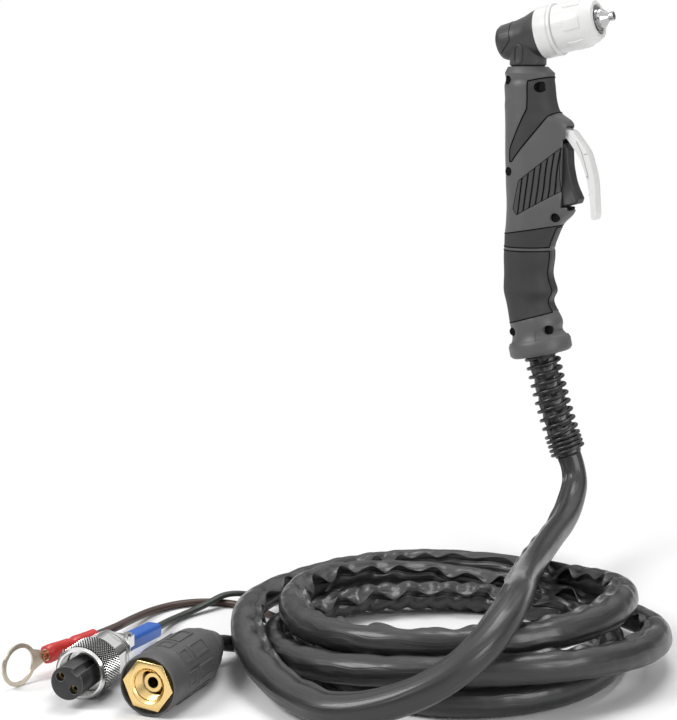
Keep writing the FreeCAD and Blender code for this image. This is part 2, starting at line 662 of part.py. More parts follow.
def trigger_parts():
    """Trigger on its pin, with the switch behind it."""
    body = slab([
        (16.0, 34.2, 1.5), (22.4, 33.6, 1.6), (24.9, 30.2, 3.0), (25.6, 20.5, 30.0), (27.9, 10.5, 30.0),
        (32.2, 2.0, 1.2), (31.2, -0.8, 1.2), (21.5, -3.4, 1.5), (TRIGGER_REAR_X, -2.0, 1.5),
    ], TRIGGER_HALF_WIDTH)
    front_edges = []
    for edge in body.Edges:
        middle = edge.CenterOfMass
        if abs(middle.y) > TRIGGER_HALF_WIDTH - 0.1 and middle.x > 24.5 and 1.5 < middle.z < 31:
            front_edges.append(edge)
    body = body.makeFillet(TRIGGER_EDGE_RADIUS, front_edges)
    spring_room = bar_across(TRIGGER_PIN.x, TRIGGER_PIN.z, 3.2, 2.6)
    hole = bar_across(TRIGGER_PIN.x, TRIGGER_PIN.z, TRIGGER_PIN_RADIUS + PIN_CLEARANCE, 10)
    save("trigger", body.cut(spring_room).cut(hole))
    half = TRIGGER_HALF_WIDTH + TRIGGER_SIDE_GAP + PIN_SEAT
    save("trigger_pin", bar_across(TRIGGER_PIN.x, TRIGGER_PIN.z, TRIGGER_PIN_RADIUS, half))
    coil = bar_across(TRIGGER_PIN.x, TRIGGER_PIN.z, 2.7, 2.2)
    save("trigger_spring", coil.cut(bar_across(TRIGGER_PIN.x, TRIGGER_PIN.z, TRIGGER_PIN_RADIUS + 0.1, 3)))

    arm = slab([
        (22.6, 42.2, 1.0), (27.4, 40.6, 4.0), (37.0, 28.4, 20.0), (41.4, 13.4, 40.0), (43.0, -6.0, 1.8),
        (42.2, -10.2, 1.2), (39.9, -9.4, 1.0), (38.6, 2.8, 20.0), (36.6, 13.6, 20.0), (31.6, 25.8, 14.0),
        (24.4, 35.4, 3.0), (21.4, 38.0, 1.0),
    ], LEVER_HALF_WIDTH)
    hub = bar_across(LEVER_PIN.x, LEVER_PIN.z, LEVER_HUB_RADIUS, LEVER_HALF_WIDTH)
    nubs = bar_across(36.6, 13.4, 0.8, 1.5).fuse(bar_across(38.2, 4.6, 0.8, 1.5))
    room = bar_across(LEVER_PIN.x, LEVER_PIN.z, 2.0, 1.2)
    hole = bar_across(LEVER_PIN.x, LEVER_PIN.z, LEVER_PIN_RADIUS + PIN_CLEARANCE, 8)
    save("safety_lever", arm.fuse(hub).fuse(nubs).cut(room).cut(hole).removeSplitter())
    half = LEVER_SLOT_HALF + PIN_SEAT - 0.5
    save("lever_pin", bar_across(LEVER_PIN.x, LEVER_PIN.z, LEVER_PIN_RADIUS, half))
    coil = bar_across(LEVER_PIN.x, LEVER_PIN.z, 1.8, 1.0)
    save("lever_spring", coil.cut(bar_across(LEVER_PIN.x, LEVER_PIN.z, LEVER_PIN_RADIUS + 0.1, 3)))

    front = POCKET_REAR_X - 0.8
    case = Part.makeBox(SWITCH_DEPTH, 2 * SWITCH_HALF_WIDTH, SWITCH_HEIGHT,
                        V(front - SWITCH_DEPTH, -SWITCH_HALF_WIDTH, SWITCH_Z - SWITCH_HEIGHT / 2))
    guide = Part.makeCylinder(PLUNGER_RADIUS + 0.1, 6, V(front - 5, 0, SWITCH_Z), V(1, 0, 0))
    save("microswitch", case.cut(guide))
    save("switch_plunger", Part.makeCylinder(PLUNGER_RADIUS, TRIGGER_REAR_X - PLUNGER_GAP - front + 2.4,
                                             V(front - 2.4, 0, SWITCH_Z), V(1, 0, 0)))
    leads = []
    for side in (-1.8, 1.8):
        leads.append(cord("switch lead", [
            V(front - 3.5, side, SWITCH_Z - SWITCH_HEIGHT / 2), V(front - 3.5, side, -6), V(6.4, side, -20),
            V(6.6, side, -45), V(9.6, side, -64), V(10.8, side, -73.0)], 0.9))
    save("switch_leads", Part.makeCompound(leads))


def inner_parts():
    """Hose from the neck down to the jacket, and its union."""
    union = Part.makeCylinder(STEM_RADIUS + 1.4, UNION_LENGTH, V(NECK_X, 0, UNION_Z))
    socket = Part.makeCylinder(STEM_RADIUS, UNION_DEPTH, V(NECK_X, 0, UNION_Z + UNION_LENGTH - UNION_DEPTH))
    save("cable_union", union.cut(socket))
    end, ahead = spring_axis(-SPRING_BURIED - 1.0 - SEAT_THICK)
    save("inner_hose", cord("inner hose", [
        V(NECK_X, 0, UNION_Z), V(NECK_X, 0, 27), V(-1.2, 0, 6), V(-1.8, 0, -20), V(-0.6, 0, -46),
        end - ahead * 14 + V(-1.6, 0, 0), end + V(-1.6, 0, 0)], 3.1))


# Spring and jacket

def spring_travel(turn, turns):
    """Distance along the axis after a number of turns: open first, closed up at the end."""
    start = turns - SPRING_CLOSED_TURNS
    if turn <= start:
        return turn * SPRING_PITCH
    return start * SPRING_PITCH + (turn - start) * SPRING_END_PITCH


def strain_spring():
    """Helix about the curved axis."""
    length = SPRING_BURIED + SPRING_LENGTH - 1.4
    open_turns = (length - SPRING_CLOSED_TURNS * SPRING_END_PITCH) / SPRING_PITCH
    turns = round(2 * (open_turns + SPRING_CLOSED_TURNS)) / 2

    def place(turn):
        point, ahead = spring_axis(spring_travel(turn, turns) - SPRING_BURIED)
        side = Y_AXIS.cross(ahead)
        angle = 2 * math.pi * turn
        return point + (side * math.cos(angle) + Y_AXIS * math.sin(angle)) * SPRING_MEAN_RADIUS

    def heading(turn):
        return (place(turn + 0.001) - place(turn - 0.001)).normalize()

    edges = []
    steps = int(turns * 2)
    for step in range(steps):
        edges += arc_pair(place(step / 2), heading(step / 2), place((step + 1) / 2), heading((step + 1) / 2))
    dense = [place(turns * index / 620) for index in range(621)]
    gap = least_gap(dense, SPRING_WIRE_RADIUS, 24)
    print("spring: %.1f turns, least gap %.2f" % (turns, gap))
    save("strain_spring", swept_round(edges, SPRING_WIRE_RADIUS))


def coil_point(turn, radius, height):
    """Point on the coil after a number of turns from the front, going left."""
    angle = 2 * math.pi * turn
    return on_floor(-radius * math.sin(angle), -radius * math.cos(angle), height)


def on_floor(right, away, height):
    """Point from distances right of and beyond the coil's centre, as the eye sees them."""
    view = math.radians(VIEW_TURN)
    return V(COIL_CENTRE[0] + right * math.cos(view) - away * math.sin(view),
             COIL_CENTRE[1] + right * math.sin(view) + away * math.cos(view), FLOOR_Z + height)


def coil_keys():
    """Turn, radius and height where the coil's arcs meet."""
    keys = [(COIL_START[0] / 4, COIL_START[1], COIL_START[2])]
    for index, (radius, height) in enumerate(COIL_QUARTERS):
        keys.append(((index + 1) / 4, radius, height))
    keys.append((COIL_END[0] / 4, COIL_END[1], COIL_END[2]))
    return keys


def coil_heading(keys, index):
    """Direction of the jacket at a key, from how radius and height change between its neighbours.

    The coil starts level, because the jacket has come down to the floor there.
    """
    before = keys[max(index - 1, 0)]
    after = keys[min(index + 1, len(keys) - 1)]
    turn, radius, height = keys[index]
    widen = (after[1] - before[1]) / (after[0] - before[0])
    climb = (after[2] - before[2]) / (after[0] - before[0]) if index > 0 else 0
    step = 0.001
    ahead = coil_point(turn + step, radius + widen * step, height + climb * step)
    behind = coil_point(turn - step, radius - widen * step, height - climb * step)
    return (ahead - behind).normalize()


def coil_edges():
    """Arcs of the coil, with a straight end one diameter long."""
    keys = coil_keys()
    edges = []
    for index in range(len(keys) - 1):
        edges += arc_pair(coil_point(*keys[index]), coil_heading(keys, index),
                          coil_point(*keys[index + 1]), coil_heading(keys, index + 1))
    start = coil_point(*keys[0])
    first = coil_heading(keys, 0)
    end = coil_point(*keys[-1])
    last = V(coil_heading(keys, len(keys) - 1))
    lead_in = Part.LineSegment(start - first * 2 * JACKET_RADIUS, start).toShape()
    lead_out = Part.LineSegment(end, end + last * 2 * JACKET_RADIUS).toShape()
    return [lead_in] + edges + [lead_out]


def jacket_parts():
    """Jacket inside the spring, its free stretch and its coil."""
    start, start_ahead = spring_axis(-SPRING_BURIED - 1.0 - SEAT_THICK)
    end, end_ahead = spring_axis(SPRING_LENGTH)
    middle = spring_axis(SPRING_LENGTH / 2)[0]
    path = [Part.Arc(start, middle, end).toShape()]
    neck_radius = SPRING_MEAN_RADIUS - SPRING_WIRE_RADIUS - SPRING_FIT
    save("jacket_neck", swept_round(path, neck_radius))
    seat_axis = spring_axis(0)[1]
    seat = tube(SEAT_RADIUS, neck_radius + 0.2, -SPRING_BURIED - 1.0 - SEAT_THICK, -SPRING_BURIED - 1.0)
    save("spring_seat", placed(seat, SPRING_ROOT, seat_axis))

    edges = coil_edges()
    first = edges[0]
    coil_start = first.valueAt(first.FirstParameter)
    settled = coil_start - first.tangentAt(first.FirstParameter) * DROP_LAST_RUN
    drop = [end, end + end_ahead * DROP_FIRST_RUN]
    drop += [V(*point) for point in DROP_POINTS] + [settled, coil_start]
    save("jacket_drop", cord("jacket drop", drop, JACKET_RADIUS))
    dense = []
    for edge in edges:
        dense += edge.discretize(12)[:-1]
    length = sum(edge.Length for edge in edges)
    coil = swept_round(edges, JACKET_RADIUS)
    expected = math.pi * JACKET_RADIUS ** 2 * length
    print("coil: length %.1f, least gap %.2f, volume over section times length %.4f"
          % (length, least_gap(dense, JACKET_RADIUS, 22), coil.Volume / expected))
    save("jacket_coil", coil)
    last = edges[-1]
    return last.valueAt(last.LastParameter), last.tangentAt(last.LastParameter)


# Tails, connector, plug and ring terminal

def connector_parts(coil_end, coil_ahead):
    """Gas and power connector at the end of its hose."""
    front = on_floor(*CONNECTOR_FRONT)
    right, away, rise = CONNECTOR_HEADING
    heading = (on_floor(right, away, rise) - on_floor(0, 0, 0)).normalize()

    def set_down(shape):
        return placed(shape, front, heading)

    def hexagon(flats, start, end):
        corner = flats / math.sqrt(3)
        points = []
        for index in range(7):
            angle = math.radians(60 * index + NUT_TURN)
            points.append(V(corner * math.cos(angle), corner * math.sin(angle), start))
        return Part.Face(Part.makePolygon(points)).extrude(V(0, 0, end - start))

    rim = NUT_PROUD + 0.4
    mouth_radius = GRIP_RADIUS - GRIP_RIM
    grip = turned([
        (rim, mouth_radius), (rim, mouth_radius + 0.4), (rim - 0.8, GRIP_RADIUS - 0.2),
        (-3, GRIP_RADIUS), (-10, GRIP_RADIUS - 0.5), (-12.5, GRIP_RADIUS - 0.1), (-40, GRIP_RADIUS - 0.3),
        (-GRIP_LENGTH + 2, GRIP_RADIUS - 0.7), (-GRIP_LENGTH, GRIP_RADIUS - 1.6),
        (-GRIP_LENGTH, GRIP_BORE), (rim - GRIP_MOUTH_DEPTH, GRIP_BORE),
        (rim - GRIP_MOUTH_DEPTH, mouth_radius),
    ])
    grip = grip.cut(hexagon(NUT_FLATS + 0.1, -NUT_LENGTH, 1))
    frame_shell = tube(GRIP_RADIUS + 0.35, GRIP_RADIUS - 0.7, -42, -12)
    for index in range(GRIP_COLUMNS):
        for start, end in ((-21, -13.5), (-38, -23.5)):
            frame = Part.makeBox(4, 7.4, end - start, V(12, -3.7, start))
            frame = frame.cut(Part.makeBox(6, 5.4, end - start - 2, V(11, -2.7, start + 1)))
            frame.rotate(V(0, 0, 0), Z_AXIS, 360 / GRIP_COLUMNS * index)
            grip = grip.fuse(frame_shell.common(frame))
    save("connector_grip", set_down(grip))
    nut = hexagon(NUT_FLATS, -NUT_LENGTH, NUT_PROUD)
    nut = nut.cut(rod(NUT_THREAD_RADIUS, -NUT_THREAD_DEPTH, 1))
    nut = nut.cut(rod(NIPPLE_RADIUS + NIPPLE_CLEARANCE, -30, 0))
    nut = nut.cut(turned([
        (NUT_PROUD + 0.1, 0), (NUT_PROUD + 0.1, NUT_THREAD_RADIUS + 1.3),
        (NUT_PROUD - 1.3, NUT_THREAD_RADIUS - 0.1), (NUT_PROUD - 1.3, 0),
    ]))
    save("connector_nut", set_down(nut))
    nipple = turned([
        (-4.5, NIPPLE_BORE), (-4.5, NIPPLE_RADIUS - 0.6), (-5.2, NIPPLE_RADIUS), (-30, NIPPLE_RADIUS),
        (-30, HOSE_RADIUS - 0.8), (-GRIP_LENGTH, HOSE_RADIUS - 0.8), (-GRIP_LENGTH, NIPPLE_BORE),
    ])
    groove = tube(NIPPLE_RADIUS + 1, NIPPLE_RADIUS - 0.8, -8.8, -7.2)
    save("connector_nipple", set_down(nipple.cut(groove)))
    ring = Part.makeTorus(NIPPLE_RADIUS - 0.1, 0.7)
    ring.translate(V(0, 0, -8.0))
    save("nipple_o_ring", set_down(ring))
    boot_start = -GRIP_LENGTH - BOOT_GAP
    boot_end = boot_start - BOOT_LENGTH
    boot = turned([
        (boot_start, HOSE_RADIUS + 0.05), (boot_start, 12.2), (boot_start - 5.4, 11.5),
        (boot_start - 5.7, 10.1), (boot_start - 7.5, 9.7), (boot_start - 7.8, 10.4),
        (boot_start - 11.8, 9.0), (boot_start - 12.1, 7.7), (boot_start - 13.5, 7.3),
        (boot_start - 13.8, 8.0), (boot_end, 6.8), (boot_end, HOSE_RADIUS + 0.05),
    ])
    save("connector_boot", set_down(boot))

    hose_start = front - heading * GRIP_LENGTH
    first_bend = front - heading * (GRIP_LENGTH + BOOT_GAP + BOOT_LENGTH + HOSE_RADIUS)
    side = coil_ahead.cross(Z_AXIS).normalize()
    hose_end = coil_end - side * 2.6 + V(0, 0, -0.6)
    route = [
        hose_start, first_bend, on_floor(-97.5, -2.3, 6.9), on_floor(-87.2, 2.0, 5.2),
        on_floor(-76.8, 1.7, 5.0), on_floor(-66.7, -3.0, 5.6), hose_end + coil_ahead * 11.6, hose_end,
    ]
    save("gas_hose_tail", cord("gas hose", route, HOSE_RADIUS))
    end_sleeve = tube(JACKET_RADIUS + 0.5, JACKET_RADIUS + 0.05, -12, -0.5)
    save("jacket_end_sleeve", placed(end_sleeve, coil_end, coil_ahead))


def plug_parts(coil_end, coil_ahead):
    """Two-pole switch plug with its coupling nut, clamp, marker sleeve and lead."""
    def set_down(shape):
        return placed(shape, PLUG_FACE, PLUG_HEADING)

    turn = math.radians(INSERT_TURN)
    across = V(math.cos(turn), math.sin(turn), 0) * (CONTACT_SPACING / 2)
    insert = rod(INSERT_PLUG_RADIUS, -30, 0)
    key = Part.makeBox(3.2, 3.0, INSERT_PROUD + 6, V(-1.6, INSERT_PLUG_RADIUS - 1.8, -INSERT_PROUD - 6))
    key.rotate(V(0, 0, 0), Z_AXIS, INSERT_TURN)
    lead_room = rod(3.4, -31, -22)
    insert = insert.cut(key).cut(lead_room)
    contacts = []
    for place in (-across, across):
        hole = rod(CONTACT_RADIUS, -18, 1)
        hole.translate(place)
        insert = insert.cut(hole)
        contact = tube(CONTACT_RADIUS, 1.2, -18, -3.0)
        contact.translate(place)
        contacts.append(set_down(contact))
    save("plug_insert", set_down(insert))
    save("plug_contacts", Part.makeCompound(contacts))

    mouth = -INSERT_PROUD
    rear = mouth - COUPLING_LENGTH
    save("plug_coupling_nut", set_down(turned([
        (mouth, 10.7), (mouth, 11.6), (mouth - 1.4, COUPLING_RADIUS), (rear + 1.0, COUPLING_RADIUS),
        (rear, COUPLING_RADIUS - 0.8), (rear, 9.4), (rear + 3, 9.4), (rear + 3, 10.7),
    ])))
    shell = turned([
        (rear + 8, INSERT_PLUG_RADIUS), (rear + 8, 10.3), (rear + 3.3, 10.3), (rear + 3.3, 9.3),
        (rear - 0.3, 9.3), (rear - 0.3, PLUG_SHELL_RADIUS), (rear - 11, PLUG_SHELL_RADIUS),
        (rear - 11.2, 10.4), (rear - 12.8, 10.4), (rear - 13, 11.2), (rear - 15, 11.2),
        (-PLUG_SHELL_END + 1, 8.4), (-PLUG_SHELL_END, 8.2), (-PLUG_SHELL_END, 3.4), (-30, 3.4),
        (-30, INSERT_PLUG_RADIUS),
    ])
    for index in range(6):
        flat = Part.makeBox(4, 16, 8, V(10.9, -8, rear - 10))
        flat.rotate(V(0, 0, 0), Z_AXIS, 60 * index)
        shell = shell.cut(flat)
    save("plug_shell", set_down(shell))
    clamp = Part.makeBox(15, 5.4, 7, V(-7.5, 1.0, -PLUG_SHELL_END - 7))
    clamp = clamp.fuse(Part.makeBox(15, 5.4, 7, V(-7.5, -6.4, -PLUG_SHELL_END - 7)))
    clamp = clamp.fuse(tube(8.2, 3.4, -PLUG_SHELL_END - 1.2, -PLUG_SHELL_END)).cut(rod(3.4, -60, -40))
    screws = []
    for side in (-5.4, 5.4):
        screw = Part.makeCylinder(1.2, 12.4, V(side, -5.6, -PLUG_SHELL_END - 4), Y_AXIS)
        head = Part.makeCylinder(2.0, 1.4, V(side, 6.4, -PLUG_SHELL_END - 4), Y_AXIS)
        clamp = clamp.cut(screw)
        screws.append(set_down(screw.fuse(head).removeSplitter()))
    save("plug_clamp", set_down(clamp))
    save("plug_clamp_screws", Part.makeCompound(screws))

    ahead = V(PLUG_HEADING).normalize()
    lead_start = PLUG_FACE - ahead * 22
    sleeve_start = PLUG_FACE - ahead * (PLUG_SHELL_END + 8)
    sleeve_end = V(-94.1, -246.4, FLOOR_Z + 7.2)
    direction = sleeve_end - sleeve_start
    block = Part.makeBox(9.4, 7.6, direction.Length, V(-4.7, -3.8, 0))
    block = block.makeFillet(2.4, [edge for edge in block.Edges if edge.Length > 15])
    save("marker_sleeve", placed(block.cut(rod(LEAD_RADIUS + 0.3, -1, 60)), sleeve_start, direction))
    side = coil_ahead.cross(Z_AXIS).normalize()
    lead_end = coil_end + side * 4.4 + V(0, 0, 2.3)
    save("trigger_lead", cord("trigger lead", [
        lead_start, sleeve_start - ahead * 2, sleeve_end, V(-103.8, -221, FLOOR_Z + 2.4),
        V(-103.5, -205, FLOOR_Z + 2.1), V(-99.5, -191, FLOOR_Z + 4.2), V(-96.5, -177.0, FLOOR_Z + 7.0),
        V(-86.5, -164.5, FLOOR_Z + 4.0), V(-69, -162, FLOOR_Z + 2.1), V(-47, -172, FLOOR_Z + 2.0),
        on_floor(-48.0, 26, 2.2),
        lead_end + coil_ahead * 18 + V(0, 0, -0.6), lead_end], LEAD_RADIUS))


def terminal_parts(coil_end, coil_ahead):
    """Ring terminal standing on its edge, with its crimped and sleeved lead."""
    def set_down(shape):
        return placed(shape, RING_CENTRE, RING_HEADING)

    ring = Part.makeCylinder(RING_RADIUS, RING_THICK, V(-RING_THICK / 2, 0, 0), V(1, 0, 0))
    neck_outline = [(6.5, -6), (3.0, -15), (2.4, -18), (-2.4, -18), (-3.0, -15), (-6.5, -6)]
    neck_points = [V(-RING_THICK / 2, y, z) for y, z in neck_outline]
    neck = Part.Face(Part.makePolygon(neck_points + neck_points[:1])).extrude(V(RING_THICK, 0, 0))
    hole = Part.makeCylinder(RING_HOLE_RADIUS, 4, V(-2, 0, 0), V(1, 0, 0))
    barrel = tube(2.9, 2.1, -26, -17)
    save("ring_terminal", set_down(ring.fuse(neck).cut(hole).cut(rod(2.1, -20, -17)).fuse(barrel)))
    strands = []
    for index in range(7):
        angle = math.radians(60 * index)
        reach = 0 if index == 6 else 1.36
        strand = rod(0.68, -26, -15.5 + 0.35 * (index % 3))
        strand.translate(V(reach * math.cos(angle), reach * math.sin(angle), 0))
        strands.append(strand)
    bundle = Part.makeCompound([set_down(strand.cut(neck)) for strand in strands])
    save("terminal_strands", bundle)
    save("terminal_sleeve", set_down(turned([
        (-21, 3.0), (-21, 3.9), (-30, 4.1), (-34, 3.5), (-48, 3.3), (-50, 3.1), (-50, PILOT_RADIUS + 0.1),
        (-27, PILOT_RADIUS + 0.1), (-27, 3.0),
    ])))
    ahead = V(RING_HEADING).normalize()
    side = coil_ahead.cross(Z_AXIS).normalize()
    lead_end = coil_end + side * 4.4 + V(0, 0, -2.4)
    start = RING_CENTRE - ahead * 26
    save("pilot_lead", cord("pilot lead", [
        start, RING_CENTRE - ahead * 62, V(-117.5, -236.0, FLOOR_Z + 5), V(-122.4, -210.0, FLOOR_Z + 2.2),
        V(-116.5, -192.0, FLOOR_Z + 2.1), V(-102.5, -180.5, FLOOR_Z + 2.1), V(-82.0, -177.5, FLOOR_Z + 2.1),
        V(-53.0, -187.5, FLOOR_Z + 2.1), on_floor(-56.5, 16, 2.1), lead_end + coil_ahead * 16, lead_end],
        PILOT_RADIUS))


os.makedirs("parts", exist_ok=True)
handle_parts()
head_parts()
trigger_parts()
inner_parts()
strain_spring()
jacket_end, jacket_ahead = jacket_parts()
connector_parts(jacket_end, jacket_ahead)
plug_parts(jacket_end, jacket_ahead)
terminal_parts(jacket_end, jacket_ahead)
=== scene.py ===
"""Hand plasma cutting torch on a coiled jacketed lead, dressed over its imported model."""

import json
import math

import bmesh
import bpy
from mathutils import Matrix, Vector, noise

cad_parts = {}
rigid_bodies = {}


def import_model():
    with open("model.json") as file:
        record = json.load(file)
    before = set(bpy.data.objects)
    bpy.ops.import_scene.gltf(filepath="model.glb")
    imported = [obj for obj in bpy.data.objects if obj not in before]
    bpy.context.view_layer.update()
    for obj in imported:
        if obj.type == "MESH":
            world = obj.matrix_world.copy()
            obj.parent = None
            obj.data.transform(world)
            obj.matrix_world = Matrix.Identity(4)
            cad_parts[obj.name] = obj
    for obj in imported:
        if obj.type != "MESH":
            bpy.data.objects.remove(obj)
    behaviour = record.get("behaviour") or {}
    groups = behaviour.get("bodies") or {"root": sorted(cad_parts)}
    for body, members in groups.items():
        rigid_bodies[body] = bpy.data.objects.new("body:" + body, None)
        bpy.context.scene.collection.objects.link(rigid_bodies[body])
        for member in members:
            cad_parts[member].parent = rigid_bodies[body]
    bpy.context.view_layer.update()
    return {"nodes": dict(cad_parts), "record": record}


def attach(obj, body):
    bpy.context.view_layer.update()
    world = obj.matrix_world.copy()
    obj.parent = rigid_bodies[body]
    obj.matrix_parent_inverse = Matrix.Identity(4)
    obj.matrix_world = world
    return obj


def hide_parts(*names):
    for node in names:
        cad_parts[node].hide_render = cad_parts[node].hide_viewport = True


bl_info = {
    "name": "Plasma torch and lead",
    "version": (1, 0, 0),
    "blender": (4, 5, 0),
    "location": "View3D > Sidebar > Torch",
    "description": "Builds the torch's lead, fittings, finishes and studio around its packed model",
    "category": "Object",
}

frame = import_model()
NODES = frame["nodes"]
MM = 0.001

# Camera and floor, in metres and radians, with the lens and its sensor in millimetres
CAMERA_PLACE = Vector((0.388975, -0.866610, 0.069086))
CAMERA_AZIMUTH = math.radians(31.0)
CAMERA_PITCH = math.radians(9.9)
CAMERA_LENS = 80.0
CAMERA_SENSOR = 36.0
FLOOR_Z = -0.214

# Strain spring's axis, in millimetres and radians
SPRING_ROOT = Vector((9.4, 0, -91.0))
SPRING_LEAN = math.radians(13.0)
SPRING_BEND_RADIUS = 365.0
SPRING_LENGTH = 62.0
NECK_START = -12.2

# Jacket, with its free stretch from the spring to the coil, in millimetres
JACKET_RADIUS = 7.2
DROP_POINTS = [
    (37, -14, -175), (41, -36, -181), (47, -68, -181.5), (58, -118, -182.5), (76, -170, -175),
    (94, -212, -165), (103, -242, -163.5), (102, -267, -174.5), (87, -285, -188.5), (65, -294.5, -199),
]
DROP_FIRST_RUN = 14.0
DROP_LAST_RUN = 18.6

# Coil on the floor: centre, and radius and height at each quarter turn from the front, going left
COIL_CENTRE = Vector((35.0, -190.0, -214.0))
COIL_KEYS = [
    (0.5, 98, 10), (1, 90.5, 19.5), (1.5, 101, 13), (2, 122, 11.5), (2.5, 109.5, 15.5), (3, 97, 31),
    (4, 68, 30.5), (5, 67, 23), (5.5, 80, 21), (6, 89, 14), (6.5, 95, 9), (7, 114, 13.5), (7.5, 99, 23),
    (8, 80, 22.5), (9, 77, 10), (10, 66, 9.5), (10.5, 80, 7.6), (11, 91, 7.6), (12, 78, 7.6), (12.6, 60, 8),
]
COIL_POINTS_A_QUARTER = 4
COIL_LAST_GAP = 0.06

# Factor by which the coil's control points stand outside the curve that they give
COIL_OUTWARD = 1.0195

# Parting seam on the head's sides, drawn as a near-black bead that is painted shade of the seam: distance
# along the handle's depth and height, in millimetres
HEAD_SEAM = [(-13.4, 104.5), (-12.1, 100.8), (-10.5, 92.0), (-14.0, 87.6), (-17.0, 84.5)]

# Raised lines on the lever's sides, the same way
LEVER_RIBS = [
    [(29.7, 34.9), (33.1, 28.5), (35.6, 20.8), (37.7, 14.0)], [(34.5, 27.5), (39.1, 28.5), (40.0, 25.2)],
    [(36.1, 15.3), (37.7, 13.6)], [(37.0, 6.2), (38.4, 4.5)],
]

# Front strips of the shells beside the lower grip, in millimetres
STRIP_HALF_WIDTH = 4.05
STRIP_BACK = 6.0
STRIP_HEIGHTS = [(-64.3, -28.7), (-26.3, -13.6)]

# Fittings on the floor: place in millimetres and heading. The connector's are as the eye sees them.
CONNECTOR_FRONT = (-130.8, -76.8, 14.4)
CONNECTOR_HEADING = (-0.36, -0.933, 0.04)
PLUG_FACE = Vector((-73.6, -337.0, -201.2))
PLUG_HEADING = Vector((0.2345, -0.972, 0.03)).normalized()
RING_CENTRE = Vector((-112.4, -326.0, -203.5))
RING_HEADING = Vector((-0.10, -0.995, 0)).normalized()

# Each bare lead, in millimetres: its runs back from the fitting's face, the points from there to the jacket's
# end, and how far aside of and above the middle of that end it leaves. The hose's points are as the eye sees
# them.
HOSE_RUNS = (48, 70.1)
HOSE_POINTS = [(-97.5, -2.3, 6.9), (-87.2, 2.0, 5.2), (-76.8, 1.7, 5.0), (-66.7, -3.0, 5.6)]
HOSE_OFF = (-2.6, -0.6)
HOSE_LAST_RUN = 11.6

SWITCH_HALVES = (2.35, 1.6)
SWITCH_RUNS = (22, 60)
SWITCH_POINTS = [
    (-94.1, -246.4, -206.8), (-103.8, -221, -211.6), (-103.5, -205, -211.9), (-99.5, -191, -209.8),
    (-96.5, -177.0, -207.0), (-86.5, -164.5, -210.0), (-69, -162, -211.9), (-47, -172, -212.0),
]
SWITCH_LAST_SEEN = (-48.0, 26, 2.2)
SWITCH_LAST_RUN = (18, -0.6)
SWITCH_OFF = (4.4, 2.3)

PILOT_HALVES = (2.5, 1.8)
PILOT_RUNS = (26, 62)
PILOT_POINTS = [
    (-117.5, -236.0, -209), (-122.4, -210.0, -211.8), (-116.5, -192.0, -211.9), (-102.5, -180.5, -211.9),
    (-82.0, -177.5, -211.9), (-53.0, -187.5, -211.9),
]
PILOT_LAST_SEEN = (-56.5, 16, 2.1)
PILOT_LAST_RUN = (16, 0)
PILOT_OFF = (4.4, -2.4)


def eye_ways():
    """Level directions to the right of the eye and away from it."""
    cos, sin = math.cos(CAMERA_AZIMUTH), math.sin(CAMERA_AZIMUTH)
    return Vector((cos, sin, 0)), Vector((-sin, cos, 0))


def on_floor(right, away, height):
    """Point in millimetres from distances right of and beyond the coil's centre as the eye sees them."""
    cos, sin = math.cos(CAMERA_AZIMUTH), math.sin(CAMERA_AZIMUTH)
    return COIL_CENTRE + Vector((right * cos - away * sin, right * sin + away * cos, height))


def connector_place():
    """Front of the connector in millimetres and its heading."""
    return on_floor(*CONNECTOR_FRONT), (on_floor(*CONNECTOR_HEADING) - on_floor(0, 0, 0)).normalized()


def spring_axis(distance):
    """Point in millimetres and direction on the spring's axis, from the flange's lower face."""
    angle = SPRING_LEAN + distance / SPRING_BEND_RADIUS
    point = SPRING_ROOT + Vector((
        SPRING_BEND_RADIUS * (math.cos(SPRING_LEAN) - math.cos(angle)), 0,
        -SPRING_BEND_RADIUS * (math.sin(angle) - math.sin(SPRING_LEAN))))
    return point, Vector((math.sin(angle), 0, -math.cos(angle)))


def coil_slopes(index):
    """Change of radius and height in each quarter turn at a key. The coil starts level."""
    before = COIL_KEYS[max(index - 1, 0)]
    after = COIL_KEYS[min(index + 1, len(COIL_KEYS) - 1)]
    span = after[0] - before[0]
    climb = (after[2] - before[2]) / span if index else 0
    return (after[1] - before[1]) / span, climb


def coil_point(quarter):
    """Point in millimetres on the coil after a number of quarter turns."""
    index = 0
    while index < len(COIL_KEYS) - 2 and COIL_KEYS[index + 1][0] <= quarter:
        index += 1
    start, end = COIL_KEYS[index], COIL_KEYS[index + 1]
    span = end[0] - start[0]
    part = (quarter - start[0]) / span
    widen_a, climb_a = coil_slopes(index)
    widen_b, climb_b = coil_slopes(index + 1)

    def between(a, b, slope_a, slope_b):
        cube, square = part ** 3, part ** 2
        return ((2 * cube - 3 * square + 1) * a + (cube - 2 * square + part) * span * slope_a
                + (3 * square - 2 * cube) * b + (cube - square) * span * slope_b)

    radius = between(start[1], end[1], widen_a, widen_b) * COIL_OUTWARD
    height = between(start[2], end[2], climb_a, climb_b)
    angle = quarter * math.pi / 2
    return on_floor(-radius * math.sin(angle), -radius * math.cos(angle), height)


def coil_end():
    """Place in millimetres and direction of the jacket's far end."""
    last = COIL_KEYS[-1][0]
    radius, height = COIL_KEYS[-1][1:]
    angle = last * math.pi / 2
    widen, climb = coil_slopes(len(COIL_KEYS) - 1)
    step = 0.001
    places = []
    for sign in (-1, 1):
        turned = angle + sign * step * math.pi / 2
        reach = radius + sign * step * widen
        places.append(on_floor(-reach * math.sin(turned), -reach * math.cos(turned),
                               height + sign * step * climb))
    ahead = (places[1] - places[0]).normalized()
    return (places[0] + places[1]) / 2 + ahead * 2 * JACKET_RADIUS, ahead


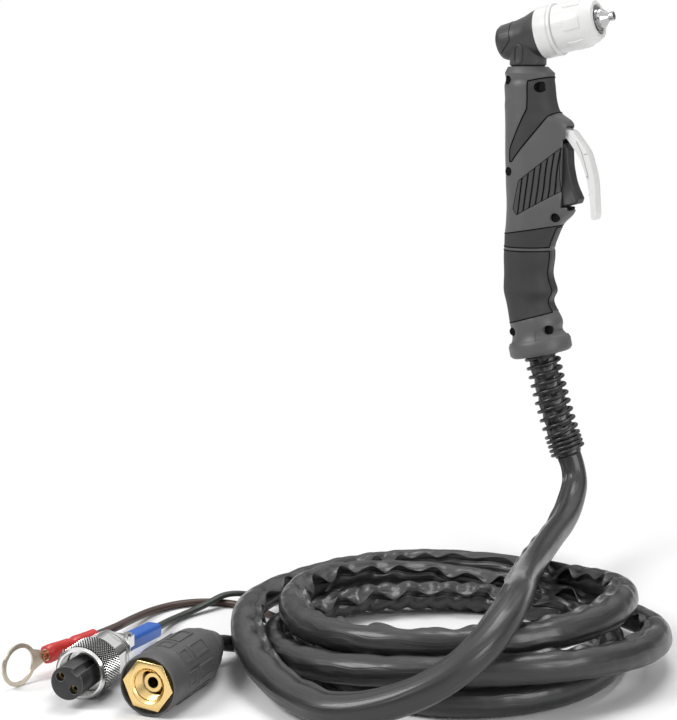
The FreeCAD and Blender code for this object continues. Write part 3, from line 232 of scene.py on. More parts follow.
def jacket_route():
    """Control points of the jacket in millimetres, from the spring to its far end."""
    exit_place, exit_ahead = spring_axis(SPRING_LENGTH)
    points = [exit_place, exit_place + exit_ahead * DROP_FIRST_RUN]
    points += [Vector(point) for point in DROP_POINTS]
    quarter = COIL_KEYS[0][0]
    step = 0.01
    start = coil_point(quarter)
    ahead = (coil_point(quarter + step) - start).normalized()
    lead_in = 2 * JACKET_RADIUS
    points.append(start - ahead * (lead_in + DROP_LAST_RUN))
    points.append(start - ahead * lead_in)
    while quarter < COIL_KEYS[-1][0] - COIL_LAST_GAP:
        points.append(coil_point(quarter))
        quarter += 1 / COIL_POINTS_A_QUARTER
    end, heading = coil_end()
    points.append(end - heading * lead_in)
    points.append(end)
    return points


# Shared mesh work

def linked(name, data):
    """New object in the scene from its mesh, curve, lamp or camera."""
    made = bpy.data.objects.new(name, data)
    bpy.context.scene.collection.objects.link(made)
    return made


def route_curve(name, route):
    """NURBS curve object whose control points are a route in millimetres."""
    curve = bpy.data.curves.new(name, "CURVE")
    curve.dimensions = "3D"
    spline = curve.splines.new("NURBS")
    spline.points.add(len(route) - 1)
    for place, point in zip(spline.points, route):
        place.co = (*(Vector(point) * MM), 1)
    spline.order_u = 3
    spline.use_endpoint_u = True
    curve.resolution_u = 12
    return linked(name, curve)


def route_line(name, route):
    """Points in metres along a route's curve."""
    carrier = route_curve(name, route)
    line = bpy.data.meshes.new_from_object(carrier)
    places = [vertex.co.copy() for vertex in line.vertices]
    bpy.data.objects.remove(carrier)
    bpy.data.meshes.remove(line)
    return places


def even_steps(places, step):
    """Points at equal distances along a line, with the distance of each from the start."""
    lengths = [0.0]
    for before, after in zip(places, places[1:]):
        lengths.append(lengths[-1] + (after - before).length)
    count = max(2, round(lengths[-1] / step))
    result = []
    index = 0
    for number in range(count + 1):
        target = lengths[-1] * number / count
        while index < len(places) - 2 and lengths[index + 1] < target:
            index += 1
        span = lengths[index + 1] - lengths[index]
        part = (target - lengths[index]) / span if span > 0 else 0
        result.append((places[index].lerp(places[index + 1], part), target))
    return result


def carried_frames(places, up):
    """Heading, side and up at each point of a line, turned no more than the line turns."""
    frames = []
    side = None
    for index, place in enumerate(places):
        before = places[max(index - 1, 0)]
        after = places[min(index + 1, len(places) - 1)]
        ahead = (after - before).normalized()
        if side is None:
            side = up.cross(ahead).normalized()
        side = (side - ahead * side.dot(ahead)).normalized()
        frames.append((ahead, side, ahead.cross(side)))
    return frames


def new_piece(name, verts, faces, uvs=None):
    """Smooth mesh object from its points and faces, with one UV for each face corner where given."""
    mesh = bpy.data.meshes.new(name)
    mesh.from_pydata([tuple(vert) for vert in verts], [], faces)
    if uvs:
        layer = mesh.uv_layers.new(name="along")
        for loop, uv in zip(layer.data, uvs):
            loop.uv = uv
    mesh.polygons.foreach_set("use_smooth", [True] * len(mesh.polygons))
    mesh.update()
    return linked(name, mesh)


def tube_faces(start, rows, around):
    """Faces of a closed tube whose rings of points follow each other from a number."""
    faces = []
    for row in range(rows - 1):
        for spot in range(around):
            low, following = start + row * around, (spot + 1) % around
            faces.append((low + spot, low + following, low + around + following, low + around + spot))
    last = start + (rows - 1) * around
    return [*faces, tuple(start + spot for spot in reversed(range(around))),
            tuple(last + spot for spot in range(around))]


def lofted(name, rings, distances):
    """Closed tube through rings of points, with its UV along the length and around, in metres and turns."""
    around = len(rings[0])
    verts = [vert for ring in rings for vert in ring]
    uvs = []
    for near, far in zip(distances, distances[1:]):
        for spot in range(around):
            left, right = spot / around, (spot + 1) / around
            uvs += [(near, left), (near, right), (far, right), (far, left)]
    uvs += [(distances[0], 0)] * around + [(distances[-1], 0)] * around
    return new_piece(name, verts, tube_faces(0, len(rings), around), uvs)


def seated(base, heading, up=Vector((0, 0, 1))):
    """Matrix from a fitting's own millimetres, +Z along its heading and +Y up, to its place in metres."""
    ahead = Vector(heading).normalized()
    side = up.cross(ahead).normalized()
    turn = Matrix((side, ahead.cross(side), ahead)).transposed().to_4x4()
    return Matrix.Translation(Vector(base) * MM) @ turn @ Matrix.Scale(MM, 4)


def revolved(name, profile, seat, segments=96):
    """Closed solid of revolution from a loop of (height, radius) points in millimetres."""
    rows = len(profile)
    verts, faces = [], []
    for spot in range(segments):
        angle = 2 * math.pi * spot / segments
        verts += [seat @ Vector((radius * math.cos(angle), radius * math.sin(angle), height))
                  for height, radius in profile]
    for spot in range(segments):
        following = (spot + 1) % segments
        for row in range(rows):
            beyond = (row + 1) % rows
            faces.append((spot * rows + row, following * rows + row, following * rows + beyond,
                          spot * rows + beyond))
    return tidied(new_piece(name, verts, faces))


def tidied(piece, sharp=35.0):
    """Merge doubles, point the faces outwards and mark the sharp edges."""
    work = bmesh.new()
    work.from_mesh(piece.data)
    bmesh.ops.remove_doubles(work, verts=work.verts, dist=2e-7)
    bmesh.ops.recalc_face_normals(work, faces=work.faces)
    work.to_mesh(piece.data)
    work.free()
    piece.data.polygons.foreach_set("use_smooth", [True] * len(piece.data.polygons))
    piece.data.set_sharp_from_angle(angle=math.radians(sharp))
    piece.data.update()
    return piece


def baked(piece):
    """Turn a piece's modifiers into its plain mesh."""
    graph = bpy.context.evaluated_depsgraph_get()
    mesh = bpy.data.meshes.new_from_object(piece.evaluated_get(graph))
    piece.modifiers.clear()
    old = piece.data
    piece.data = mesh
    bpy.data.meshes.remove(old)
    return piece


def copied(node, ending, flat=0.0):
    """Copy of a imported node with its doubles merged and, within an angle, its flat faces joined."""
    mesh = NODES[node].data.copy()
    work = bmesh.new()
    work.from_mesh(mesh)
    bmesh.ops.remove_doubles(work, verts=work.verts, dist=1e-6)
    if flat:
        bmesh.ops.dissolve_limit(work, angle_limit=math.radians(flat), verts=work.verts, edges=work.edges)
    work.to_mesh(mesh)
    work.free()
    return linked(node + ending, mesh)


def mark_painted_light(mesh, painted_tones):
    """Mark the faces of a mesh as lighter or darker than their finish: painted highlight or painted shade."""
    layer = mesh.attributes.new("painted_light_tone", "FLOAT", "FACE")
    layer.data.foreach_set("value", painted_tones)


def softened(node, width, painted_light_tone):
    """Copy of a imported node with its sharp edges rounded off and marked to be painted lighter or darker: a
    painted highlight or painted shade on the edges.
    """
    piece = copied(node, "_form", flat=0.4)
    while len(piece.data.materials) < 2:
        piece.data.materials.append(FINISH["seal"])
    bevel = piece.modifiers.new("edges", "BEVEL")
    bevel.width = width
    bevel.segments = 2
    bevel.limit_method = "ANGLE"
    bevel.angle_limit = math.radians(28)
    bevel.use_clamp_overlap = True
    bevel.material = 1
    mesh = baked(piece).data
    mark_painted_light(mesh, [painted_light_tone if face.material_index else 0.0 for face in mesh.polygons])
    mesh.polygons.foreach_set("material_index", [0] * len(mesh.polygons))
    mesh.polygons.foreach_set("use_smooth", [True] * len(mesh.polygons))
    mesh.set_sharp_from_angle(angle=math.radians(40))
    mesh.update()
    return piece


def dress(piece, finish, body="torch", replaces=()):
    """Give a new piece its finish and let it ride on its body."""
    piece.data.materials.clear()
    piece.data.materials.append(finish)
    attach(piece, body)
    if replaces:
        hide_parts(*replaces)
    return piece


def shown(*names):
    """Pieces by name, each as its rounded copy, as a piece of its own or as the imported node."""
    pieces = bpy.data.objects
    return [pieces.get(name + "_form") or pieces.get(name) or NODES[name] for name in names]


def finish_node(node, finish):
    """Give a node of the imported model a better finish."""
    part = NODES[node]
    if part.material_slots:
        for place in part.material_slots:
            place.material = finish
    else:
        part.data.materials.append(finish)


# Shared node work

def fed(tree, socket, value):
    """Set a socket's value, or link it where the value is another socket."""
    if isinstance(value, bpy.types.NodeSocket):
        tree.links.new(value, socket)
    else:
        socket.default_value = value


def added(tree, kind, inputs=None, **settings):
    """New node with its settings, and its inputs set or linked by name or number."""
    node = tree.nodes.new(kind)
    for name, value in settings.items():
        setattr(node, name, value)
    for key, value in (inputs or {}).items():
        fed(tree, node.inputs[key], value)
    return node


def worked(tree, operation, *values):
    """Result of a math node on values or sockets."""
    return added(tree, "ShaderNodeMath", dict(enumerate(values)), operation=operation).outputs[0]


def new_group(name, kind, inputs, outputs):
    """Node group with named inputs and outputs, the sockets that its inputs give and those of its result."""
    group = bpy.data.node_groups.new(name, kind)
    for way, entries in (("INPUT", inputs), ("OUTPUT", outputs)):
        for label, socket, *default in entries:
            made = group.interface.new_socket(label, in_out=way, socket_type="NodeSocket" + socket)
            if default:
                made.default_value = default[0]
    return group, added(group, "NodeGroupInput").outputs, added(group, "NodeGroupOutput").inputs


def smooth_range(tree, value, start, end, low=0.0, high=1.0):
    """Smooth rise of a value from low to high between start and end."""
    values = {"Value": value, "From Min": start, "From Max": end, "To Min": low, "To Max": high}
    return added(tree, "ShaderNodeMapRange", values, interpolation_type="SMOOTHSTEP").outputs["Result"]


# Finishes

def grain_group():
    """Fine moulded grain with soft mottling: colour, roughness and height."""
    group = bpy.data.node_groups.get("moulded grain")
    if group:
        return group
    group, given, result = new_group(
        "moulded grain", "ShaderNodeTree",
        (("Colour", "Color"), ("Grain size", "Float", 2500.0), ("Mottle size", "Float", 90.0),
         ("Mottle", "Float", 0.15), ("Roughness", "Float", 0.5), ("Roughness spread", "Float", 0.12)),
        (("Colour", "Color"), ("Roughness", "Float"), ("Height", "Float")))
    place = added(group, "ShaderNodeTexCoord").outputs["Object"]
    fine = added(group, "ShaderNodeTexNoise", {"Vector": place, "Scale": given["Grain size"], "Detail": 3})
    broad = added(group, "ShaderNodeTexNoise", {"Vector": place, "Scale": given["Mottle size"], "Detail": 4})
    centred = worked(group, "SUBTRACT", broad.outputs["Fac"], 0.5)
    amount = worked(group, "MULTIPLY_ADD", centred, given["Mottle"], 1.0)
    shade = added(group, "ShaderNodeVectorMath", {0: given["Colour"], "Scale": amount}, operation="SCALE")
    rough = worked(group, "MULTIPLY_ADD", centred, given["Roughness spread"], given["Roughness"])
    fed(group, result["Colour"], shade.outputs[0])
    fed(group, result["Roughness"], rough)
    fed(group, result["Height"], fine.outputs["Fac"])
    return group


def painted_light_group():
    """Colour made lighter or darker on faces whose painted light is over or under nothing: a painted
    highlight or painted shade.
    """
    group = bpy.data.node_groups.get("painted light and shade")
    if group:
        return group
    group, given, result = new_group("painted light and shade", "ShaderNodeTree", (("Colour", "Color"), ("Tone", "Float")),
                                     (("Colour", "Color"),))
    amount = worked(group, "ADD", given["Tone"], 1.0)
    shade = added(group, "ShaderNodeVectorMath", {0: given["Colour"], "Scale": amount}, operation="SCALE")
    fed(group, result["Colour"], shade.outputs[0])
    return group


def moulded(name, colour, roughness, grain=2500.0, depth=0.00003, mottle=0.2, spread=0.15, metallic=0.0,
            coat=0.0, specular=0.5, mottle_size=90.0):
    """Moulded or turned surface with grain, mottling and a bump."""
    finish = bpy.data.materials.new(name)
    finish.use_nodes = True
    tree = finish.node_tree
    surface = added(tree, "ShaderNodeGroup", {
        "Colour": (*colour, 1), "Grain size": grain, "Mottle size": mottle_size, "Mottle": mottle,
        "Roughness": roughness, "Roughness spread": spread}, node_tree=grain_group())
    # Faces marked lighter or darker get a painted highlight or painted shade
    edge = added(tree, "ShaderNodeAttribute", attribute_name="painted_light_tone")
    shade = added(tree, "ShaderNodeGroup", {"Colour": surface.outputs["Colour"], "Tone": edge.outputs["Fac"]},
                  node_tree=painted_light_group())
    bump = added(tree, "ShaderNodeBump", {"Height": surface.outputs["Height"], "Distance": depth})
    shader = tree.nodes["Principled BSDF"]
    for label, value in (("Base Color", shade.outputs["Colour"]), ("Roughness", surface.outputs["Roughness"]),
                         ("Metallic", metallic), ("Specular IOR Level", specular), ("Coat Weight", coat),
                         ("Coat Roughness", 0.15), ("Normal", bump.outputs["Normal"])):
        fed(tree, shader.inputs[label], value)
    return finish


def darkened_strip(finish, colour):
    """Paint the front strips of the shells like the soft grip beside them."""
    tree = finish.node_tree
    base = tree.nodes["Principled BSDF"].inputs["Base Color"]
    place = added(tree, "ShaderNodeTexCoord").outputs["Object"]
    x, y, z = added(tree, "ShaderNodeSeparateXYZ", {0: place}).outputs
    narrow = worked(tree, "LESS_THAN", worked(tree, "ABSOLUTE", y), STRIP_HALF_WIDTH * MM)
    front = worked(tree, "MULTIPLY", narrow, worked(tree, "GREATER_THAN", x, STRIP_BACK * MM))
    spans = [worked(tree, "MULTIPLY", worked(tree, "GREATER_THAN", z, low * MM),
                    worked(tree, "LESS_THAN", z, high * MM)) for low, high in STRIP_HEIGHTS]
    mask = worked(tree, "MULTIPLY", front, worked(tree, "MAXIMUM", *spans))
    paint = added(tree, "ShaderNodeMix", data_type="RGBA")
    for label, value in (("Factor", mask), ("A", base.links[0].from_socket), ("B", (*colour, 1))):
        fed(tree, paint.inputs[label], value)
    fed(tree, base, paint.outputs["Result"])
    return finish


def jacket_finish(colour):
    """Glossy coated cover with faint lines along its length."""
    finish = moulded("jacket cover", colour, 0.38, grain=1800.0, depth=0.00004, mottle=0.5, spread=0.3,
                     specular=0.45, mottle_size=40.0, coat=0.3)
    tree = finish.node_tree
    normal = tree.nodes["Principled BSDF"].inputs["Normal"]
    along = added(tree, "ShaderNodeUVMap", uv_map="along").outputs["UV"]
    stretch = added(tree, "ShaderNodeMapping", {"Vector": along, "Scale": (12.0, 26.0, 1.0)})
    lines = added(tree, "ShaderNodeTexNoise", {
        "Vector": stretch.outputs["Vector"], "Scale": 1.0, "Detail": 5})
    bump = added(tree, "ShaderNodeBump", {
        "Height": lines.outputs["Fac"], "Distance": 0.0007, "Strength": 0.8,
        "Normal": normal.links[0].from_socket})
    fed(tree, normal, bump.outputs["Normal"])
    return finish


# Settings

class TORCH_PG_look(bpy.types.PropertyGroup):
    """Colours of the torch's finishes."""
    shell: bpy.props.FloatVectorProperty(
        name="Shell", description="Hard grey handle shells", subtype="COLOR", min=0, max=1,
        default=(0.09, 0.09, 0.092))
    grip: bpy.props.FloatVectorProperty(
        name="Grip", description="Soft dark grip areas", subtype="COLOR", min=0, max=1,
        default=(0.027, 0.027, 0.028))
    head: bpy.props.FloatVectorProperty(
        name="Head", description="Moulded torch head", subtype="COLOR", min=0, max=1,
        default=(0.034, 0.034, 0.035))
    cup: bpy.props.FloatVectorProperty(
        name="Cup", description="White cup and collar", subtype="COLOR", min=0, max=1,
        default=(0.74, 0.74, 0.73))
    lever: bpy.props.FloatVectorProperty(
        name="Lever", description="White safety lever", subtype="COLOR", min=0, max=1,
        default=(0.76, 0.76, 0.75))
    trigger: bpy.props.FloatVectorProperty(
        name="Trigger", description="Dark trigger", subtype="COLOR", min=0, max=1,
        default=(0.02, 0.02, 0.021))
    jacket: bpy.props.FloatVectorProperty(
        name="Jacket", description="Glossy cover of the lead", subtype="COLOR", min=0, max=1,
        default=(0.017, 0.017, 0.0175))
    sleeve: bpy.props.FloatVectorProperty(
        name="Marker sleeve", description="Blue sleeve of the switch lead", subtype="COLOR", min=0, max=1,
        default=(0.02, 0.12, 0.50))
    crimp: bpy.props.FloatVectorProperty(
        name="Crimp sleeve", description="Red sleeve of the ring terminal", subtype="COLOR", min=0, max=1,
        default=(0.55, 0.02, 0.015))


class TORCH_PG_lead(bpy.types.PropertyGroup):
    """Sizes of the jacketed lead."""
    diameter: bpy.props.FloatProperty(
        name="Jacket diameter", description="Outside diameter of the cover", unit="LENGTH",
        default=2 * JACKET_RADIUS * MM, min=0.01, max=0.02)
    seam: bpy.props.FloatProperty(
        name="Seam height", description="How far the cover's seam edge stands out", unit="LENGTH",
        default=0.0034, min=0, max=0.004)
    curl: bpy.props.FloatProperty(
        name="Seam curl", description="How far the seam edge is folded over", unit="LENGTH",
        default=0.0034, min=0, max=0.004)
    crease: bpy.props.FloatProperty(
        name="Crease depth", description="Depth of the creases beside the seam", unit="LENGTH",
        default=0.0026, min=0, max=0.003)
    ruffle: bpy.props.FloatProperty(
        name="Ruffle length", description="Length of one wave of the seam edge", unit="LENGTH",
        default=0.022, min=0.008, max=0.05)
    hose: bpy.props.FloatProperty(
        name="Hose diameter", description="Outside diameter of the bare gas hose", unit="LENGTH",
        default=0.008, min=0.005, max=0.01)


# Pieces

# Cover of the lead: its steps and greatest radius in metres
COVER_STEP = 0.0015
COVER_AROUND = 60
COVER_REACH = 0.0108

# Cover's relief: angles from the seam in radians, depths in metres
EDGE_ANGLE = 0.12
GROOVE_OFF = 0.26
GROOVE_ANGLE = 0.10
GROOVE_DEPTH = 0.0009
FOLD_ANGLE = 0.95
BUNCH_DEPTH = 0.0017
BROAD_DEPTH = 0.00022

# Stretches of the lead over which its cover changes, in metres from the spring, or back from the far end
SEAM_TURNS = (0.10, 0.36)
LOOSENS = (0.355, 0.41)
BUNCHES = (0.40, 0.50)
INNER_START = (0.44, 0.38)
INNER_END = (0.22, 0.16)

# Sleeve inside the strain spring: radius, greatest radius and step in metres, where its seam faces, how loose
# it is there and how far it is bunched all round
NECK_RADIUS = 0.0079
NECK_REACH = 0.0085
NECK_STEP = 0.001
NECK_SEAM_WAY = Vector((-0.6, -1, 0))
NECK_LOOSE = 0.2
NECK_BUNCHED = 0.7


def wander(distance, pace, row):
    """Smooth random value along a cord, between about -1 and 1."""
    return 2.0 * noise.noise(Vector((distance * pace, row, 0.5 * row)))


def cover_ring(lead, place, distance, carried, way, loose, bunched, radius, reach_limit):
    """One ring of the cover: nearly round, creased towards a seam edge that is folded over and ruffled."""
    ahead, side, up = carried

    # Where the seam runs, how loose the cover is beside it, and how far its edge stands out and folds over
    seam = math.atan2(way.dot(up), way.dot(side))
    phase = 2 * math.pi * distance / lead.ruffle + 4.2 * wander(distance, 13, 7.7)
    size = loose * min(1.3, 0.3 + 1.5 * abs(wander(distance, 16, 1.1)))
    centre = seam + 0.16 * wander(distance, 12, 3.1) + 0.15 * size * math.sin(phase)
    lip = lead.seam * (0.42 + 0.58 * min(1.0, size) * (0.7 + 0.3 * math.cos(phase + 0.7)))
    curl = lead.curl * size * (0.45 + 0.55 * math.sin(phase - 0.5))
    flank = -side * math.sin(centre) + up * math.cos(centre)
    drop = -max(-1.0, min(1.0, 3.0 * flank.z))
    ring = []
    for spot in range(COVER_AROUND):
        away = 2 * math.pi * spot / COVER_AROUND - math.pi
        off = away * (0.3 + 0.7 * abs(away / math.pi))
        angle = centre + off
        cos, sin = math.cos(angle), math.sin(angle)

        # The edge, the groove under it and the creases, which fade away from the seam
        edge = math.exp(-(off / EDGE_ANGLE) ** 2)
        groove = math.exp(-((off - GROOVE_OFF * drop) / GROOVE_ANGLE) ** 2)
        near = math.exp(-(off / FOLD_ANGLE) ** 2) * (1 - 0.8 * edge)
        slant = phase + 1.5 * off * drop + 0.8 * wander(distance, 30, 5.0 + cos)
        crease = lead.crease * size * near * (abs(math.sin(slant / 2)) - 0.72)

        # Bunches all round where the cover is pushed together, and a broad unevenness everywhere
        twist = 1.9 * phase + 2.0 * sin + 1.8 * wander(distance, 24, 11.0 + cos)
        bunch = BUNCH_DEPTH * bunched * (abs(math.sin(twist / 2)) ** 0.8 - 0.6)
        broad = BROAD_DEPTH * (wander(distance, 9, 20 + 1.2 * cos) + wander(distance, 5, 30 + 1.4 * sin))

        reach = radius + lip * edge - GROOVE_DEPTH * groove + crease + bunch + broad
        outward = side * cos + up * sin
        along = -side * sin + up * cos
        point = outward * reach + along * (curl * drop * edge ** 1.5)
        if point.length > reach_limit:
            point *= reach_limit / point.length
        ring.append(place + point)
    return ring


def cover_rings(lead, places, radius, seam_way, looseness, bunching, reach_limit=COVER_REACH):
    """Rings of the cover along a line."""
    frames = carried_frames([place for place, distance in places], Vector((0, 1, 0)))
    return [cover_ring(lead, place, distance, carried, seam_way(place, distance), looseness(place, distance),
                       bunching(distance), radius, reach_limit)
            for (place, distance), carried in zip(places, frames)]


def eased(value, start, end):
    """Smooth rise from 0 at the start to 1 at the end."""
    part = max(0.0, min(1.0, (value - start) / (end - start)))
    return part * part * (3 - 2 * part)


class TORCH_OT_jacket(bpy.types.Operator):
    """Glossy cover of the lead, from the spring round the coil to its open end."""
    bl_idname = "torch.jacket"
    bl_label = "Jacket"

    def execute(self, context):
        lead = context.scene.torch_lead
        finish = jacket_finish(context.scene.torch_look.jacket)
        places = even_steps(route_line("jacket line", jacket_route()), COVER_STEP)
        total = places[-1][1]
        centre = COIL_CENTRE * MM
        right, beyond = eye_ways()

        def seam_way(place, distance):
            inward = centre - place
            inward.z = 0
            coiled = inward.normalized() * 0.8 + Vector((0, 0, 0.75))
            hanging = -right - beyond * 0.35
            return hanging.lerp(coiled, eased(distance, *SEAM_TURNS))

        def looseness(place, distance):
            depth = (place - centre).dot(beyond) / 0.1
            return (0.12 + 0.88 * eased(distance, *LOOSENS)) * max(0.5, min(1.0, 0.85 + 0.4 * depth))

        def bunching(distance):
            begun, ended = (eased(distance, total - start, total - end)
                            for start, end in (INNER_START, INNER_END))
            return 0.10 * eased(distance, *BUNCHES) + 0.9 * begun * (1 - ended)

        rings = cover_rings(lead, places, lead.diameter / 2, seam_way, looseness, bunching)
        jacket = lofted("lead_jacket", rings, [distance for place, distance in places])
        dress(jacket, finish, replaces=["jacket_drop", "jacket_coil"])

        span = SPRING_LENGTH - NECK_START
        neck_line = [spring_axis(NECK_START + span * step / 60)[0] * MM for step in range(61)]
        neck_places = even_steps(neck_line, NECK_STEP)
        rings = cover_rings(lead, neck_places, NECK_RADIUS, lambda *_: NECK_SEAM_WAY, lambda *_: NECK_LOOSE,
                            lambda *_: NECK_BUNCHED, reach_limit=NECK_REACH)
        neck = lofted("spring_sleeve", rings, [distance for place, distance in neck_places])
        dress(neck, finish, replaces=["jacket_neck"])
        return {"FINISHED"}


# Bare leads: their steps in metres, points around, and how flat their sides are, where 1 is round
LEAD_STEP = 0.0015
LEAD_AROUND = 28
LEAD_SQUARENESS = 0.8


def flat_lead(name, route, halves):
    """Slightly flattened lead along a route in millimetres, and the points that it follows."""
    places = even_steps(route_line(name + " line", route), LEAD_STEP)
    line = [place for place, distance in places]
    rings = []
    for (place, distance), (ahead, side, up) in zip(places, carried_frames(line, Vector((0, 0, 1)))):
        lean = 0.5 * wander(distance, 7, halves[0])
        ring = []
        for spot in range(LEAD_AROUND):
            angle = 2 * math.pi * spot / LEAD_AROUND
            across, over = (half * math.copysign(abs(part) ** LEAD_SQUARENESS, part) * MM
                            for half, part in zip(halves, (math.cos(angle), math.sin(angle))))
            ring.append(place + side * (across * math.cos(lean) - over * math.sin(lean))
                        + up * (across * math.sin(lean) + over * math.cos(lean)))
        rings.append(ring)
    lead = lofted(name, rings, [distance for place, distance in places])
    return lead, [tuple(place) for place in line[::3]]


def fitting_route(face, heading, runs, points, last_seen, last_run, last):
    """Route in millimetres from inside a fitting to the jacket's end, which the lead leaves straight."""
    ahead = coil_end()[1]
    return [face - heading * runs[0], face - heading * runs[1], *map(Vector, points), on_floor(*last_seen),
            last + ahead * last_run[0] + Vector((0, 0, last_run[1])), last]


class TORCH_OT_tails(bpy.types.Operator):
    """Bare gas hose and the two leads that leave the jacket's end."""
    bl_idname = "torch.tails"
    bl_label = "Hose and leads"

    def execute(self, context):
        hose_across = context.scene.torch_lead.hose
        end, ahead = coil_end()
        side = ahead.cross(Vector((0, 0, 1))).normalized()
        hose_end, switch_end, pilot_end = (end + side * aside + Vector((0, 0, above))
                                           for aside, above in (HOSE_OFF, SWITCH_OFF, PILOT_OFF))

        front, heading = connector_place()
        hose_route = [front - heading * run for run in HOSE_RUNS]
        hose_route += [on_floor(*point) for point in HOSE_POINTS]
        hose_route += [hose_end + ahead * HOSE_LAST_RUN, hose_end]
        hose = route_curve("gas_hose", hose_route)
        hose.data.bevel_depth = hose_across / 2
        hose.data.bevel_resolution = 6
        hose.data.use_fill_caps = True
        dress(hose, FINISH["hose_black"], replaces=["gas_hose_tail"])

        switch_route = fitting_route(PLUG_FACE, PLUG_HEADING, SWITCH_RUNS, SWITCH_POINTS, SWITCH_LAST_SEEN,
                                     SWITCH_LAST_RUN, switch_end)
        switch, path = flat_lead("switch_lead", switch_route, SWITCH_HALVES)
        dress(switch, FINISH["lead_dark"], replaces=["trigger_lead"])

        pilot_route = fitting_route(RING_CENTRE, RING_HEADING, PILOT_RUNS, PILOT_POINTS, PILOT_LAST_SEEN,
                                    PILOT_LAST_RUN, pilot_end)
        pilot, path = flat_lead("pilot_wire", pilot_route, PILOT_HALVES)
        dress(pilot, FINISH["lead_brown"], replaces=["pilot_lead"])
        return {"FINISHED"}


# Materials by the name of their finish, made by the next operator
FINISH = {}


class TORCH_OT_finishes(bpy.types.Operator):
    """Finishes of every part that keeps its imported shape."""
    bl_idname = "torch.finishes"
    bl_label = "Finishes"

    def execute(self, context):
        look = context.scene.torch_look
        FINISH.update({
            "shell_grey": darkened_strip(moulded("handle shell", look.shell, 0.46), look.grip),
            "grip_dark": moulded("soft grip", look.grip, 0.62),
            "grip_rib": moulded("ribbed grip", [channel * 1.7 for channel in look.grip], 0.5),
            # Near-black screw heads: painted shade of the deep screw holes
            "screw_hole_shade": moulded("screw holes painted shade", (0.003, 0.003, 0.003), 0.5, specular=0.12),
            # Near-black finish of the parting lines and the head seam: painted shade in the gaps
            "line": moulded("parting lines painted shade", (0.002, 0.002, 0.002), 0.8, specular=0.1),
            "lever_line": moulded("lever ribs", (0.42, 0.42, 0.42), 0.4),
            "head_dark": moulded("head moulding", look.head, 0.42),
            "cup_white": moulded("white cup", look.cup, 0.34, mottle=0.04),
            "brass": moulded("turned brass", (0.86, 0.62, 0.27), 0.26, metallic=1.0),
            "copper": moulded("turned copper", (0.72, 0.36, 0.22), 0.3, metallic=1.0),
            "nozzle_plate": moulded("plated nozzle", (0.5, 0.5, 0.5), 0.12, metallic=1.0),
            "steel": moulded("turned steel", (0.5, 0.5, 0.5), 0.3, metallic=1.0),
            "dark_steel": moulded("blackened spring", (0.035, 0.035, 0.035), 0.28, metallic=0.4),
            "trigger_dark": moulded("trigger", look.trigger, 0.5),
            "lever_white": moulded("safety lever", look.lever, 0.32, mottle=0.04),
            "seal": moulded("seal rubber", (0.02, 0.02, 0.02), 0.5),
            "swirl_plastic": moulded("swirl ring", (0.3, 0.26, 0.18), 0.4),
            "switch_black": moulded("switch case", (0.03, 0.03, 0.03), 0.5),
            "wire_grey": moulded("wire covers", (0.25, 0.25, 0.25), 0.5),
            "hose_black": moulded("gas hose", (0.03, 0.03, 0.03), 0.45),
            "connector_black": moulded("connector rubber", (0.075, 0.075, 0.076), 0.5),
            "plug_black": moulded("plug insert", (0.02, 0.02, 0.02), 0.4),
            "plug_chrome": moulded("plug plating", (0.78, 0.78, 0.77), 0.18, metallic=1.0),
            "sleeve_blue": moulded("marker sleeve", look.sleeve, 0.35),
            "lead_dark": moulded("switch lead cover", (0.02, 0.028, 0.022), 0.4),
            "tin": moulded("tinned ring", (0.62, 0.56, 0.46), 0.3, metallic=1.0),
            "strand_copper": moulded("bare strands", (0.75, 0.40, 0.24), 0.3, metallic=1.0),
            "sleeve_red": moulded("crimp sleeve", look.crimp, 0.25),
            "lead_brown": moulded("pilot wire cover", (0.05, 0.025, 0.018), 0.4),
        })
        FINISH["jacket_black"] = FINISH["seal"]
        for entry in frame["record"]["subparts"]:
            finish_node(entry["node"], FINISH[entry["material_slot"]])
        # Screws painted near-black: painted shade of their holes
        finish_node("handle_screws", FINISH["screw_hole_shade"])
        return {"FINISHED"}


def around_axis(centre, across, up, radius, count):
    """Ring of points round a centre."""
    angles = [2 * math.pi * spot / count for spot in range(count)]
    return [centre + radius * (across * math.cos(angle) + up * math.sin(angle)) for angle in angles]


def drawn_line(name, node, side, line, radius, finish, body):
    """Thin bead on a part's near or far side, along a line given by depth and height in millimetres."""
    target = shown(node)[0]
    places = []
    for start, end in zip(line, line[1:]):
        for step in range(10):
            x, z = (low + (high - low) * step / 10 for low, high in zip(start, end))
            found, place, *_ = target.ray_cast(Vector((x, side * 40.0, z)) * MM, Vector((0, -side, 0)))
            if found:
                places.append(place)
    rings = [around_axis(place, across, up, radius * MM, 8)
             for place, (ahead, across, up) in zip(places, carried_frames(places, Vector((0, 1, 0))))]
    bead = lofted(name + ("_far" if side > 0 else ""), rings, [0.0] * len(rings))
    return dress(bead, finish, body)


